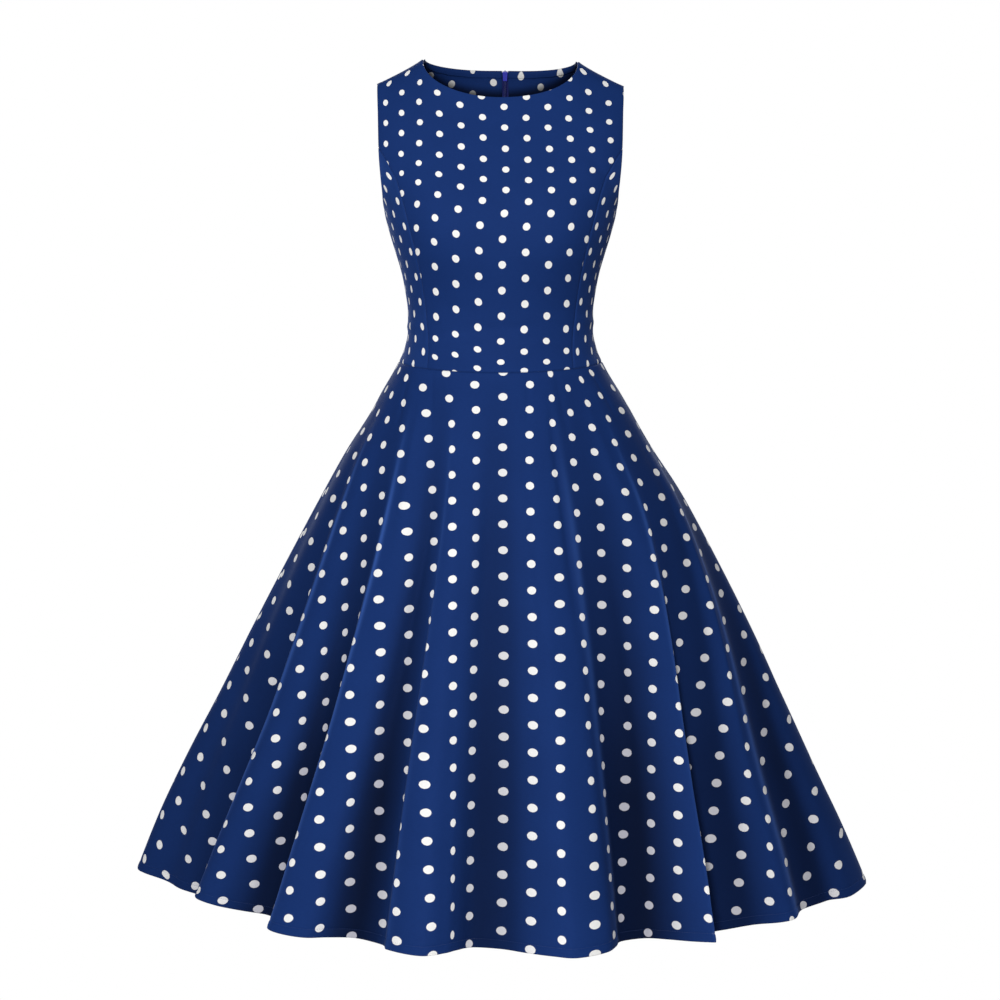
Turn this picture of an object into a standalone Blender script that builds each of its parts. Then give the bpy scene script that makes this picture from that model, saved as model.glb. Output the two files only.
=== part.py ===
"""Sleeveless a-line dress, worn shape with nobody inside it.

Metres, +Z up.  +X is to the right as seen from the front, the front faces -Y.  The origin is the point
midway between the shoulder seams, at their height, where a wearer's shoulders hold the dress.

Every cloth panel is a grid laid on one of two surface functions, bodice_point and skirt_point, which work
from the section tables below, and is then given its wall by Solidify, inwards.
"""
import math

import bmesh
import bpy
from mathutils import Matrix, Vector

# ----------------------------------------------------------------------------------------------- sizes
WALL = 0.0015            # cloth with its seam allowance, pressed
GAP = 0.0003             # clearance between neighbouring pieces
SHOULDER_SEAM = 0.0005   # clearance between the outer edges at the shoulder, where the walls lean together
NARROW = 0.0035          # width of the turned strip that runs along every seam

SHOULDER_IN = (0.0993, 0.0163)     # x, z of the neck end of the shoulder seam
SHOULDER_OUT = (0.1572, -0.0152)   # x, z of its outer end
SHOULDER_ROLL = 0.072              # height over which front and back roll up to the shoulder seam
NECK_FRONT = -0.0352               # z of the front neck edge at the centre
NECK_BACK = 0.0036                 # z of the back neck edge at the centre
NECK_SHARE = 0.56                  # share of a half panel's columns that end on the neck edge
UNDERARM = -0.1740                 # z of the armhole's lowest point
ARMHOLE_SWING = 28.0               # degrees that the armhole edge stands back from the side
ARMHOLE_ROUND = 0.0600             # height over which the armhole opens above its lowest point
SHOULDER_LEAN = 0.0030             # the shoulder at +X hangs this much lower than the other
ZIP_X = 0.0060                     # the zip stands this far off the centre plane at the neck

WAIST_SIDE = -0.3680               # z of the waist seam at the sides and the back
WAIST_DIP = 0.0088                 # how much lower it is at the centre front
HEM_SIDE = -1.0370                 # z of the hem at the sides
HEM_DIP = 0.0110                   # how much lower it is at the centre front
ZIP_END = -0.5050                  # z of the zip's lower end

BUST_FULL, BUST_X, BUST_Z = 0.0085, 0.080, -0.206   # fullness over each bust point
BUST_WIDE, BUST_TALL = 0.042, 0.058

# Level sections of the bodice: half width at the side or armhole edge, depth in front of and behind the
# side plane, and how square the section is (2 is an ellipse).
BODICE_COLUMNS = ("z", "half_width", "front", "back", "square")
BODICE = (
    (0.0165, 0.1572, 0.0430, 0.0580, 2.25),
    (-0.0152, 0.1572, 0.0520, 0.0660, 2.32),
    (-0.0352, 0.1565, 0.0600, 0.0725, 2.40),
    (-0.0500, 0.1558, 0.0670, 0.0780, 2.46),
    (-0.1000, 0.1542, 0.0915, 0.0930, 2.50),
    (-0.1500, 0.1503, 0.1145, 0.1030, 2.42),
    (-0.1740, 0.1487, 0.1220, 0.1060, 2.36),
    (-0.2050, 0.1415, 0.1265, 0.1065, 2.30),
    (-0.2300, 0.1340, 0.1245, 0.1050, 2.24),
    (-0.2550, 0.1268, 0.1185, 0.1025, 2.18),
    (-0.2800, 0.1220, 0.1110, 0.0990, 2.14),
    (-0.3050, 0.1191, 0.1050, 0.0962, 2.10),
    (-0.3280, 0.1191, 0.1025, 0.0955, 2.08),
    (-0.3540, 0.1245, 0.1055, 0.0990, 2.06),
    (-0.3680, 0.1308, 0.1100, 0.1035, 2.05),
    (-0.3850, 0.1400, 0.1165, 0.1105, 2.04),
)

# The princess seam, from the armhole down to the waist.
PRINCESS_COLUMNS = ("z", "x")
PRINCESS = (
    (-0.0980, 0.1542), (-0.1070, 0.1480), (-0.1250, 0.1378), (-0.1440, 0.1292), (-0.1840, 0.1180),
    (-0.2240, 0.1080), (-0.2700, 0.0990), (-0.3060, 0.0945), (-0.3500, 0.0912), (-0.3850, 0.0935),
)

# Level sections of the skirt, before its folds.
SKIRT_COLUMNS = ("z", "left", "right", "front", "back", "square")
SKIRT = (
    (-0.3600, 0.1270, 0.1270, 0.1070, 0.1005, 2.05),
    (-0.3680, 0.1308, 0.1308, 0.1100, 0.1035, 2.05),
    (-0.3850, 0.1400, 0.1400, 0.1165, 0.1105, 2.04),
    (-0.4060, 0.1530, 0.1532, 0.1280, 0.1235, 2.02),
    (-0.4310, 0.1672, 0.1685, 0.1405, 0.1375, 2.00),
    (-0.4830, 0.2010, 0.1985, 0.1620, 0.1640, 2.00),
    (-0.5350, 0.2303, 0.2317, 0.1830, 0.1870, 2.00),
    (-0.6140, 0.2725, 0.2739, 0.2110, 0.2170, 2.00),
    (-0.7190, 0.3270, 0.3271, 0.2440, 0.2510, 2.00),
    (-0.7990, 0.3672, 0.3647, 0.2680, 0.2740, 2.00),
    (-0.8790, 0.4095, 0.4024, 0.2900, 0.2960, 2.00),
    (-0.9590, 0.4482, 0.4410, 0.3120, 0.3160, 2.00),
    (-1.0370, 0.4800, 0.4745, 0.3320, 0.3350, 2.00),
    (-1.0700, 0.4930, 0.4880, 0.3400, 0.3430, 2.00),
)

# The skirt's folds, round from the left side across the front and on round the back: where each ridge and
# each trough between them lies at the waist and at the hem, in degrees from the centre front, and how far
# it stands out of the plain section at the hem, as a share of it.
FOLD_COLUMNS = ("name", "waist_deg", "hem_deg", "reach")
FOLDS = (
    ("ridge_side_left", -104.0, -91.0, 0.000),
    ("trough_side_left", -90.0, -74.0, -0.138),
    ("ridge_a", -79.0, -58.0, -0.118),
    ("trough_ab", -67.0, -47.0, -0.188),
    ("ridge_b", -56.0, -31.5, -0.020),
    ("trough_bc", -36.0, -22.0, -0.100),
    ("ridge_c", -26.0, -10.8, 0.092),
    ("trough_middle", -4.0, -2.2, -0.062),
    ("ridge_d", 34.0, 9.3, 0.105),
    ("trough_de", 42.0, 21.0, -0.082),
    ("ridge_e", 70.0, 28.3, 0.062),
    ("trough_ef", 77.0, 37.2, -0.052),
    ("ridge_f", 88.0, 47.0, 0.000),
    ("trough_side_right", 99.0, 58.0, -0.068),
    ("ridge_side_right", 108.0, 78.0, 0.020),
    ("trough_back_1", 117.0, 96.0, -0.105),
    ("ridge_back_1", 125.0, 109.0, -0.012),
    ("trough_back_2", 133.0, 121.0, -0.115),
    ("ridge_back_2", 142.0, 134.0, 0.034),
    ("trough_back_3", 150.0, 146.5, -0.072),
    ("ridge_back_3", 161.0, 159.0, 0.085),
    ("trough_back_4", 171.0, 170.5, -0.048),
    ("ridge_back_4", 183.0, 183.5, 0.060),
    ("trough_back_5", 193.0, 195.0, -0.042),
    ("ridge_back_5", 203.0, 206.5, 0.090),
    ("trough_back_6", 212.0, 219.0, -0.078),
    ("ridge_back_6", 222.0, 231.5, 0.028),
    ("trough_back_7", 232.0, 243.5, -0.108),
    ("ridge_back_7", 240.0, 254.0, -0.030),
    ("trough_back_8", 248.0, 262.0, -0.095),
)
FOLD_START = 0.03        # share of the skirt's length above which no fold shows
FOLD_LEAN = 2.3          # how soon a fold line turns to its hem direction

NAVY = (0.012, 0.030, 0.140)
VIOLET_BLUE = (0.035, 0.028, 0.330)


# ------------------------------------------------------------------------------------------- tables
def reader(rows, columns, key, name):
    """A smooth function through one column of a table (monotone between rows, so it never overshoots)."""
    i, j = columns.index(key), columns.index(name)
    pairs = sorted((row[i], row[j]) for row in rows)
    xs, ys = [p[0] for p in pairs], [p[1] for p in pairs]
    steps = [(ys[k + 1] - ys[k]) / (xs[k + 1] - xs[k]) for k in range(len(xs) - 1)]
    slopes = [steps[0]]
    for a, b in zip(steps, steps[1:]):
        slopes.append(0.0 if a * b <= 0 else 2 * a * b / (a + b))
    slopes.append(steps[-1])

    def read(x):
        x = min(max(x, xs[0]), xs[-1])
        k = max(i for i in range(len(xs) - 1) if xs[i] <= x)
        h = xs[k + 1] - xs[k]
        t = (x - xs[k]) / h
        return (ys[k] * (1 + 2 * t) * (1 - t) ** 2 + ys[k + 1] * t * t * (3 - 2 * t)
                + h * t * (1 - t) * (slopes[k] * (1 - t) - slopes[k + 1] * t))

    return read


B = {name: reader(BODICE, BODICE_COLUMNS, "z", name) for name in BODICE_COLUMNS[1:]}
S = {name: reader(SKIRT, SKIRT_COLUMNS, "z", name) for name in SKIRT_COLUMNS[1:]}
princess_x = reader(PRINCESS, PRINCESS_COLUMNS, "z", "x")


def lerp(a, b, t):
    return a + (b - a) * t


def ease(t):
    return t * t * (3 - 2 * t)


# ------------------------------------------------------------------------------------------- bodice
def armhole_angle(z):
    """Azimuth of the panel's outer edge: the side seam, then the armhole above it."""
    if z <= UNDERARM:
        return 90.0
    rise = min((z - UNDERARM) / ARMHOLE_ROUND, 1.0)
    return 90.0 - ARMHOLE_SWING * math.sin(math.pi / 2 * rise) ** 0.6


def section_width(z):
    """Half width of the whole section, which runs on past the armhole edge."""
    return B["half_width"](z) / math.sin(math.radians(armhole_angle(z))) ** (2 / B["square"](z))


def angle_of(x, z):
    """Azimuth at which the section at z stands x off the centre plane."""
    share = min(abs(x) / section_width(z), 1.0)
    return math.copysign(math.degrees(math.asin(share ** (B["square"](z) / 2))), x)


def shoulder_line(x):
    """Height of the shoulder seam, run on as a cone inside the neck."""
    x = abs(x)
    (x0, z0), (x1, z1) = SHOULDER_IN, SHOULDER_OUT
    if x < x0:
        return z0 + 0.65 * (x0 - x)
    return z0 + (z1 - z0) * min((x - x0) / (x1 - x0), 1.0) ** 0.85


def bodice_point(side, angle, z):
    """A point of the bodice.  side is "front" or "back", angle is off its centre line, + towards +X."""
    a = math.radians(abs(angle))
    power = 2 / B["square"](z)
    x = section_width(z) * math.sin(a) ** power
    depth = B[side](z) * max(math.cos(a), 0.0) ** power
    if side == "front":
        depth += (BUST_FULL * math.exp(-((x - BUST_X) / BUST_WIDE) ** 2) * math.exp(-((z - BUST_Z) / BUST_TALL) ** 2)
                  * min(1.0, 3 * math.cos(a)))
    below = min(max((shoulder_line(x) - z) / SHOULDER_ROLL, 0.0), 1.0)
    depth *= math.sqrt(1 - (1 - below) ** 2)
    depth = max(depth, SHOULDER_SEAM / 2)
    return Vector((math.copysign(x, angle), -depth if side == "front" else depth, z))


def leaned(p):
    """The finished bodice point, with the lean between the shoulders."""
    rise = min(max((p.z - UNDERARM) / (SHOULDER_OUT[1] - UNDERARM), 0.0), 1.0)
    return Vector((p.x, p.y, p.z - SHOULDER_LEAN * ease(rise) * ease(min(max(p.x / SHOULDER_IN[0], 0.0), 1.0))))


def waist_height(azimuth):
    return WAIST_SIDE - WAIST_DIP * max(0.0, math.cos(math.radians(azimuth))) ** 1.5


def top_edge(side, s, x_start):
    """x and z of the panel's top edge: the neck curve for s up to NECK_SHARE, then the shoulder seam."""
    low = NECK_FRONT if side == "front" else NECK_BACK
    if s <= NECK_SHARE:
        a = lerp(math.asin(x_start / SHOULDER_IN[0]), math.pi / 2, s / NECK_SHARE)
        return SHOULDER_IN[0] * math.sin(a), lerp(low, SHOULDER_IN[1], 1 - math.cos(a))
    x = lerp(SHOULDER_IN[0], SHOULDER_OUT[0], (s - NECK_SHARE) / (1 - NECK_SHARE))
    return x, shoulder_line(x)


def zip_x(z):
    """The centre back line leans a little off the centre plane towards the neck."""
    return ZIP_X * ease(min(max((z - WAIST_SIDE) / (NECK_BACK - WAIST_SIDE), 0.0), 1.0))


def bodice_panel(side, sign, s, t, joint, share, edge_of, start_x):
    """A point of a panel that reaches from the waist to the neck and shoulder.

    s runs 0..1 from the centre to the outer edge on the side given by sign; t runs 0..1 upwards and passes
    the height `joint` at t = share.  Above the joint the columns fan out to the neck edge and shoulder.
    """
    def across(z, edge):
        return lerp(angle_of(start_x(z), z), edge, s)

    if t <= share:
        angle = across(WAIST_SIDE, edge_of(WAIST_SIDE))
        azimuth = angle if side == "front" else 180 - angle
        z = lerp(waist_height(azimuth) + GAP / 2, joint, t / share)
        angle = across(z, edge_of(z))
    else:
        u = (t - share) / (1 - share)
        x_top, z_top = top_edge(side, s, start_x(NECK_FRONT if side == "front" else NECK_BACK))
        z = lerp(joint, z_top, math.sin(math.pi / 2 * u))
        edge = armhole_angle(z)
        # the columns keep to their share of the panel near the joint and of the top edge near the top
        angle = lerp(across(z, edge), edge * angle_of(x_top, z_top) / armhole_angle(z_top), ease(u))
    p = bodice_point(side, angle, z)
    return leaned(Vector((p.x * sign, p.y, p.z)))


# -------------------------------------------------------------------------------------------- skirt
def fold_angle(row, t):
    return lerp(row[2], row[1], (1 - t) ** FOLD_LEAN)


def fold_reach(azimuth, t):
    """How far the cloth stands out of the plain section, as a share of it."""
    rows = FOLDS + ((FOLDS[0][0], FOLDS[0][1] + 360, FOLDS[0][2] + 360, FOLDS[0][3]),)
    first = fold_angle(rows[0], t)
    a = (azimuth - first) % 360 + first
    for one, two in zip(rows, rows[1:]):
        a0, a1 = fold_angle(one, t), fold_angle(two, t)
        if a <= a1:
            u = (a - a0) / (a1 - a0)
            wave = lerp(one[3], two[3], 0.5 - 0.5 * math.cos(math.pi * u))
            return wave * max(0.0, (t - FOLD_START) / (1 - FOLD_START))
    return 0.0


def hem_height(azimuth):
    return HEM_SIDE - HEM_DIP * max(0.0, math.cos(math.radians(azimuth)))


def skirt_point(azimuth, t):
    """A point of the skirt: azimuth off the centre front, + towards +X; t is 0 at the waist, 1 at the hem."""
    z = lerp(waist_height(azimuth) - GAP / 2, hem_height(azimuth), t)
    a = math.radians(azimuth)
    power = 2 / S["square"](z)
    sin, cos = math.sin(a), math.cos(a)
    wide = S["right" if sin >= 0 else "left"](z)
    deep = S["front" if cos >= 0 else "back"](z)
    grow = 1 + fold_reach(azimuth, t)
    return Vector((math.copysign(wide * abs(sin) ** power * grow, sin),
                   -math.copysign(deep * abs(cos) ** power * grow, cos), z))


def anchors(start, stop, t):
    """Azimuths of the column lines between two seams: each seam, and each ridge and trough between."""
    found = [start]
    for turn in (-360, 0, 360):
        for row in FOLDS:
            # a ridge or trough belongs to the panel that it lies in at the hem
            if start + 3 < row[2] + turn < stop - 3:
                found.append(fold_angle(row, t) + turn)
    found.append(stop)
    # near the waist some of these lines come from beyond the seam, so they are drawn in to lie in order
    n = len(found) - 1
    lows = [start + (stop - start) * (k / n) * 0.25 for k in range(n + 1)]
    highs = [stop - (stop - start) * (1 - k / n) * 0.25 for k in range(n + 1)]
    return [min(max(a, lo), hi) for a, lo, hi in zip(found, lows, highs)]


# ------------------------------------------------------------------------------------------ building
for old in list(bpy.data.objects):
    bpy.data.objects.remove(old, do_unlink=True)

collection = bpy.data.collections.new("a_line_dress")
bpy.context.scene.collection.children.link(collection)
root = bpy.data.objects.new("a_line_dress", None)
collection.objects.link(root)


def material(name, colour, roughness, metallic=0.0):
    found = bpy.data.materials.get(name)
    if found:
        return found
    found = bpy.data.materials.new(name)
    found.use_nodes = True
    shader = found.node_tree.nodes["Principled BSDF"]
    shader.inputs["Base Color"].default_value = (*colour, 1)
    shader.inputs["Roughness"].default_value = roughness
    shader.inputs["Metallic"].default_value = metallic
    return found


def make_cloth(name, columns, rows, place, wall, colour):
    """A panel: a grid of columns by rows shares mapped by place(u, v), then given its wall inwards.

    u runs anticlockwise round the body seen from above and v runs upwards, so faces point outwards.
    Returns the grid's points and normals, by column and row, for what is laid on the panel.
    """
    bm = bmesh.new()
    bmesh.ops.create_grid(bm, x_segments=len(columns) - 1, y_segments=len(rows) - 1, size=1.0)
    bm.verts.ensure_lookup_table()
    where = {}
    for vert in bm.verts:
        i = round((vert.co.x + 1) / 2 * (len(columns) - 1))
        j = round((vert.co.y + 1) / 2 * (len(rows) - 1))
        where[i, j] = vert
    for (i, j), vert in where.items():
        vert.co = place(columns[i], rows[j])
    bm.normal_update()
    laid = {key: (vert.co.copy(), vert.normal.copy()) for key, vert in where.items()}
    mesh = bpy.data.meshes.new(name)
    bm.to_mesh(mesh)
    bm.free()
    mesh.shade_smooth()
    obj = bpy.data.objects.new(name, mesh)
    obj.parent = root
    mesh.materials.append(material(name + "_cloth", colour, 0.75))
    solid = obj.modifiers.new("wall", "SOLIDIFY")
    solid.thickness = wall
    solid.offset = -1.0
    solid.use_rim = True
    collection.objects.link(obj)
    return laid


def steps(count, narrow_start=0.0, narrow_end=0.0, knots=(0.0, 1.0)):
    """Even shares from 0 to 1 with knots among them, and a narrow strip at either end."""
    spans = []
    for a, b in zip(knots, knots[1:]):
        n = max(1, round(count * (b - a)))
        spans += [lerp(a, b, k / n) for k in range(n)]
    shares = spans + [1.0]
    if narrow_start:
        shares = [0.0, narrow_start] + [s for s in shares if s > narrow_start * 1.6]
    if narrow_end:
        shares = [s for s in shares if s < 1 - narrow_end * 1.6] + [1 - narrow_end, 1.0]
    return shares


def degrees_for(length, radius):
    return math.degrees(length / radius)


# Bodice front, cut in one, with both princess seams as its lower edges and the armholes as its upper ones.
FRONT_JOINT = PRINCESS[0][0]
FRONT_SHARE = 0.62
WAIST_AT_PRINCESS = waist_height(angle_of(princess_x(WAIST_SIDE), WAIST_SIDE)) + GAP / 2
UNDERARM_SHARE = (UNDERARM - WAIST_AT_PRINCESS) / (FRONT_JOINT - WAIST_AT_PRINCESS)
# Panels that share a seam share its levels too: shares of the way up from the waist to the side front's tip.
LOWER_LEVELS = [UNDERARM_SHARE * v for v in (0.0, 0.05, 0.22, 0.39, 0.55, 0.70, 0.85, 1.0)]
UPPER_LEVELS = [lerp(UNDERARM_SHARE, 1.0, v) for v in (0.10, 0.28, 0.50, 0.73, 0.94)]


def front_edge(z):
    return angle_of(princess_x(z), z) - degrees_for(GAP / 2, 0.14)


half = steps(8, narrow_end=0.04, knots=(0.0, NECK_SHARE, 1.0))
front_columns = [-s for s in reversed(half[1:])] + half
front_rows = ([FRONT_SHARE * v for v in LOWER_LEVELS + UPPER_LEVELS + [1.0]]
              + [lerp(FRONT_SHARE, 1.0, v) for v in (0.22, 0.44, 0.64, 0.80, 0.92, 0.97, 1.0)])


def place_front(u, v):
    return bodice_panel("front", -1 if u < 0 else 1, abs(u), v, FRONT_JOINT, FRONT_SHARE, front_edge, lambda z: 0.0)


make_cloth("bodice_front", front_columns, front_rows, place_front, WALL, NAVY)

# Side fronts, from the princess seam to the side seam, ending in a point on the armhole.


def place_side_front(sign):
    def place(u, v):
        s = u if sign > 0 else 1 - u
        if v <= UNDERARM_SHARE:
            angle = lerp(angle_of(princess_x(WAIST_SIDE), WAIST_SIDE), 90.0, s)
            z = lerp(waist_height(angle) + GAP / 2, UNDERARM, v / UNDERARM_SHARE)
        else:
            z = lerp(UNDERARM, FRONT_JOINT, (v - UNDERARM_SHARE) / (1 - UNDERARM_SHARE))
        inner = angle_of(princess_x(z), z) + degrees_for(GAP / 2, 0.14)
        outer = armhole_angle(z) - degrees_for(GAP / 2, 0.11)
        p = bodice_point("front", lerp(inner, outer, s), z)
        return leaned(Vector((p.x * sign, p.y, p.z)))
    return place


side_columns = steps(4, narrow_start=0.06, narrow_end=0.06)
side_rows = LOWER_LEVELS + UPPER_LEVELS
for name, sign in (("bodice_side_front_left", -1), ("bodice_side_front_right", 1)):
    make_cloth(name, side_columns, side_rows, place_side_front(sign), WALL, NAVY)

# Bodice backs, either side of the zip.
BACK_SHARE = 0.55


def back_edge(z):
    return armhole_angle(z) - degrees_for(GAP / 2, 0.11)


def back_start(sign):
    return lambda z: sign * zip_x(z) + GAP / 2


back_columns = steps(9, narrow_start=0.03, narrow_end=0.04, knots=(0.0, NECK_SHARE, 1.0))
back_rows = ([BACK_SHARE * v / UNDERARM_SHARE for v in LOWER_LEVELS]
             + [lerp(BACK_SHARE, 1.0, v) for v in (0.06, 0.13, 0.23, 0.36, 0.50, 0.64, 0.77, 0.89, 0.97, 1.0)])


def place_back(sign):
    def place(u, v):
        s = 1 - u if sign > 0 else u        # u runs anticlockwise seen from above
        return bodice_panel("back", sign, s, v, UNDERARM, BACK_SHARE, back_edge, back_start(sign))
    return place


laid_back = {}
for name, sign in (("bodice_back_left", -1), ("bodice_back_right", 1)):
    columns = back_columns if sign < 0 else [1 - s for s in reversed(back_columns)]
    laid_back[sign] = make_cloth(name, columns, back_rows, place_back(sign), WALL, NAVY)

# Skirt: the front in one, the backs either side of the zip.
SKIRT_ROWS = [1 - t for t in (1.0, 0.90, 0.79, 0.68, 0.57, 0.46, 0.35, 0.25, 0.16, 0.075, 0.0)]


def place_skirt(start, stop):
    def place(u, v):
        t = 1 - v
        radius = lerp(0.12, 0.38, t)
        a0, a1 = start + degrees_for(GAP / 2, radius), stop - degrees_for(GAP / 2, radius)
        lines = anchors(a0, a1, t)
        if u <= 1e-9 or u >= 1 - 1e-9:
            return skirt_point(a0 if u < 0.5 else a1, t)
        k = min(int(u * (len(lines) - 1)), len(lines) - 2)
        return skirt_point(lerp(lines[k], lines[k + 1], u * (len(lines) - 1) - k), t)
    return place


def skirt_columns(start, stop, each=3):
    count = len(anchors(start, stop, 1.0)) - 1
    shares = [k / (count * each) for k in range(count * each + 1)]
    strip = NARROW / 0.38 * 57.3 / (stop - start)
    return [0.0, strip] + [s for s in shares if 1.6 * strip < s < 1 - 1.6 * strip] + [1 - strip, 1.0]


laid_skirt = {}
for name, start, stop in (("skirt_front", -90.0, 90.0), ("skirt_back_right", 90.0, 180.0),
                          ("skirt_back_left", 180.0, 270.0)):
    laid_skirt[name] = make_cloth(name, skirt_columns(start, stop), SKIRT_ROWS,
                                  place_skirt(start, stop), WALL, NAVY)


# ------------------------------------------------------------------------- pieces laid inside the panels
FACING_WALL = 0.0010
TAPE_WALL = 0.0010       # tape
TAPE_WIDE = 0.0105       # its width each side of the centre back
COIL_HALF = 0.0024       # half width of the closed coil
COIL_THICK = 0.0016
FACING_CLEAR = 0.0042    # the facing's edge stands this far off the centre back
SLIDER_UP = 0.0025       # the slider rises this far above the neck edge
SLIDER_DOWN = 0.0100     # and reaches this far below it
TAPE_DEPTH = WALL + GAP                     # from the outer face of the cloth to the outer face of the tape
FACING_DEPTH = TAPE_DEPTH + TAPE_WALL + GAP
FACING_ROWS = 5          # rows of the back panel that the facing covers
FACING_COLUMNS = 0.78    # and how far along the panel's top edge it reaches


def inside(point, normal, depth):
    return point - normal * depth


def along(laid, columns, sign, j, distance, depth):
    """A point of row j that stands `distance` off the panel's centre back edge, `depth` inside the cloth."""
    order = range(len(columns)) if sign < 0 else range(len(columns) - 1, -1, -1)
    order = list(order)
    left = distance
    for a, b in zip(order, order[1:]):
        (p, n), (q, m) = laid[a, j], laid[b, j]
        span = (q - p).length
        if left <= span:
            t = left / span
            return inside(p.lerp(q, t), n.lerp(m, t).normalized(), depth)
        left -= span
    raise ValueError("off the panel")


def lay_strip(name, grid, wall, colour):
    """A strip from rows of points: grid[j][i], u anticlockwise seen from above, v upwards."""
    rows, columns = len(grid), len(grid[0])
    make_cloth(name, list(range(columns)), list(range(rows)), lambda i, j: grid[j][i], wall, colour)


# Facing halves, from the zip to the shoulder, over the top rows of the back panels.
top = len(back_rows) - 1
for name, sign in (("neck_facing_back_left", -1), ("neck_facing_back_right", 1)):
    laid = laid_back[sign]
    reach = [s for s in back_columns if 0.03 < s <= FACING_COLUMNS]
    grid = []
    for j in range(top - FACING_ROWS, top + 1):
        row = [along(laid, back_columns, sign, j, FACING_CLEAR - GAP / 2, FACING_DEPTH)]
        for s in reach:
            i = back_columns.index(s) if sign < 0 else len(back_columns) - 1 - back_columns.index(s)
            p, n = laid[i, j]
            row.append(inside(p, n, FACING_DEPTH))
        if sign > 0:
            row.reverse()
        grid.append(row)
    # the facing stops short of the neck edge and of the shoulder seam
    grid[-1] = [a.lerp(b, 0.35) for a, b in zip(grid[-1], grid[-2])]
    lay_strip(name, grid, FACING_WALL, NAVY)

# Zip tapes and coil, from just under the neck edge down past the waist to the zip's end.
skirt_rows_down = [j for j in range(len(SKIRT_ROWS) - 1, -1, -1)
                   if laid_skirt["skirt_back_right"][0, j][0].z > ZIP_END - 0.03]


def back_rows_points(sign, distance, depth):
    """Points up the centre back from the zip's end to the neck, `distance` off it on one side."""
    points = []
    skirt = laid_skirt["skirt_back_right" if sign > 0 else "skirt_back_left"]
    count = max(i for i, j in skirt) + 1
    columns = list(range(count))
    for j in reversed(skirt_rows_down):
        # the skirt back's zip edge is its far edge on the right half and its near edge on the left half
        points.append(along(skirt, columns, 1 if sign > 0 else -1, j, distance, depth))
    for j in range(0, top + 1):
        points.append(along(laid_back[sign], back_columns, sign, j, distance, depth))
    return points


for name, sign in (("zip_tape_left", -1), ("zip_tape_right", 1)):
    lines = [back_rows_points(sign, d, TAPE_DEPTH) for d in (0.0, TAPE_WIDE)]
    if sign > 0:
        lines.reverse()
    grid = [[line[j] for line in lines] for j in range(len(lines[0]))]
    grid[-1] = [p.lerp(q, 0.25) for p, q in zip(grid[-1], grid[-2])]
    lay_strip(name, grid, TAPE_WALL, VIOLET_BLUE)

coil_right = back_rows_points(1, COIL_HALF, FACING_DEPTH)
coil_left = back_rows_points(-1, COIL_HALF, FACING_DEPTH)
grid = [[r, l] for r, l in zip(coil_right, coil_left)]
neck_mid = grid[-1][0].lerp(grid[-1][1], 0.5)


def drop(row):
    return (neck_mid - row[0].lerp(row[1], 0.5)).length


# the coil ends under the slider
while drop(grid[-1]) < SLIDER_DOWN + 2 * GAP:
    last = grid.pop()
t = (drop(grid[-1]) - SLIDER_DOWN - 2 * GAP) / (drop(grid[-1]) - drop(last))
grid.append([p.lerp(q, t) for p, q in zip(grid[-1], last)])
lay_strip("zip_coil", grid, COIL_THICK, VIOLET_BLUE)

# ------------------------------------------------------------------------------- slider and pull tab
# Both are drawn in the plane frame of the zip's top: out is off the back's cloth, up runs along the zip.
edge_point, out = laid_back[1][len(back_columns) - 1, top]
out = Vector((0.0, out.y, out.z)).normalized()
up = Vector((0.0, -out.z, out.y))
side = Vector((1.0, 0.0, 0.0))
zip_top = Vector((ZIP_X, edge_point.y, edge_point.z))


def flat_shape(name, outlines, half_thick, place, axes):
    """A filled 2D outline, extruded to both sides, with its plane's axes and its origin given."""
    curve = bpy.data.curves.new(name, "CURVE")
    curve.dimensions = "2D"
    curve.fill_mode = "BOTH"
    curve.extrude = half_thick
    for outline in outlines:
        spline = curve.splines.new("POLY")
        spline.points.add(len(outline) - 1)
        for point, (x, y) in zip(spline.points, outline):
            point.co = (x, y, 0, 1)
        spline.use_cyclic_u = True
    obj = bpy.data.objects.new(name, curve)
    obj.location = place
    obj.rotation_euler = Matrix(axes).transposed().to_euler()
    collection.objects.link(obj)
    return obj


def arc(cx, cy, radius, start, stop, count):
    return [(cx + radius * math.cos(math.radians(lerp(start, stop, k / count))),
             cy + radius * math.sin(math.radians(lerp(start, stop, k / count)))) for k in range(count + 1)]


PIVOT_OUT, PIVOT_DOWN = 0.0026, 0.0023    # the pull's axis, off the cloth and below the neck edge
BODY_IN = FACING_DEPTH                    # the slider's body starts this far inside the cloth's outer face
BODY_THICK, BODY_HALF = 0.0034, 0.0035

# The slider's bridge passes over the neck edge and comes down outside as a loop for the pull.
hook = [(-BODY_IN - 0.0012, SLIDER_UP), (0.0024, SLIDER_UP), (0.0036, 0.0012), (0.0046, -0.0008),
        (0.0046, -0.0042), (0.0038, -0.0050), (0.0014, -0.0050), (0.0006, -0.0042), (0.0006, 0.0006),
        (-BODY_IN - 0.0012, 0.0006)]
eye = [(0.0016, -0.0036), (0.0036, -0.0036), (0.0036, -0.0010), (0.0016, -0.0010)]
bridge_curve = flat_shape("zip_bridge_outline", [hook, eye], 0.0008, zip_top, (out, up, side))

bpy.context.view_layer.update()
evaluated = bridge_curve.evaluated_get(bpy.context.evaluated_depsgraph_get())
bridge_mesh = bpy.data.meshes.new_from_object(evaluated)
bm = bmesh.new()
bm.from_mesh(bridge_mesh)
bmesh.ops.remove_doubles(bm, verts=bm.verts, dist=0.00001)
bm.to_mesh(bridge_mesh)
bm.free()
bridge = bpy.data.objects.new("zip_bridge_cutter", bridge_mesh)
bridge.matrix_world = bridge_curve.matrix_world
bpy.data.objects.remove(bridge_curve, do_unlink=True)
helpers = bpy.data.collections.new("helpers")
bpy.context.scene.collection.children.link(helpers)
helpers.objects.link(bridge)
bridge.hide_render = True
bridge.display_type = "WIRE"

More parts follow.
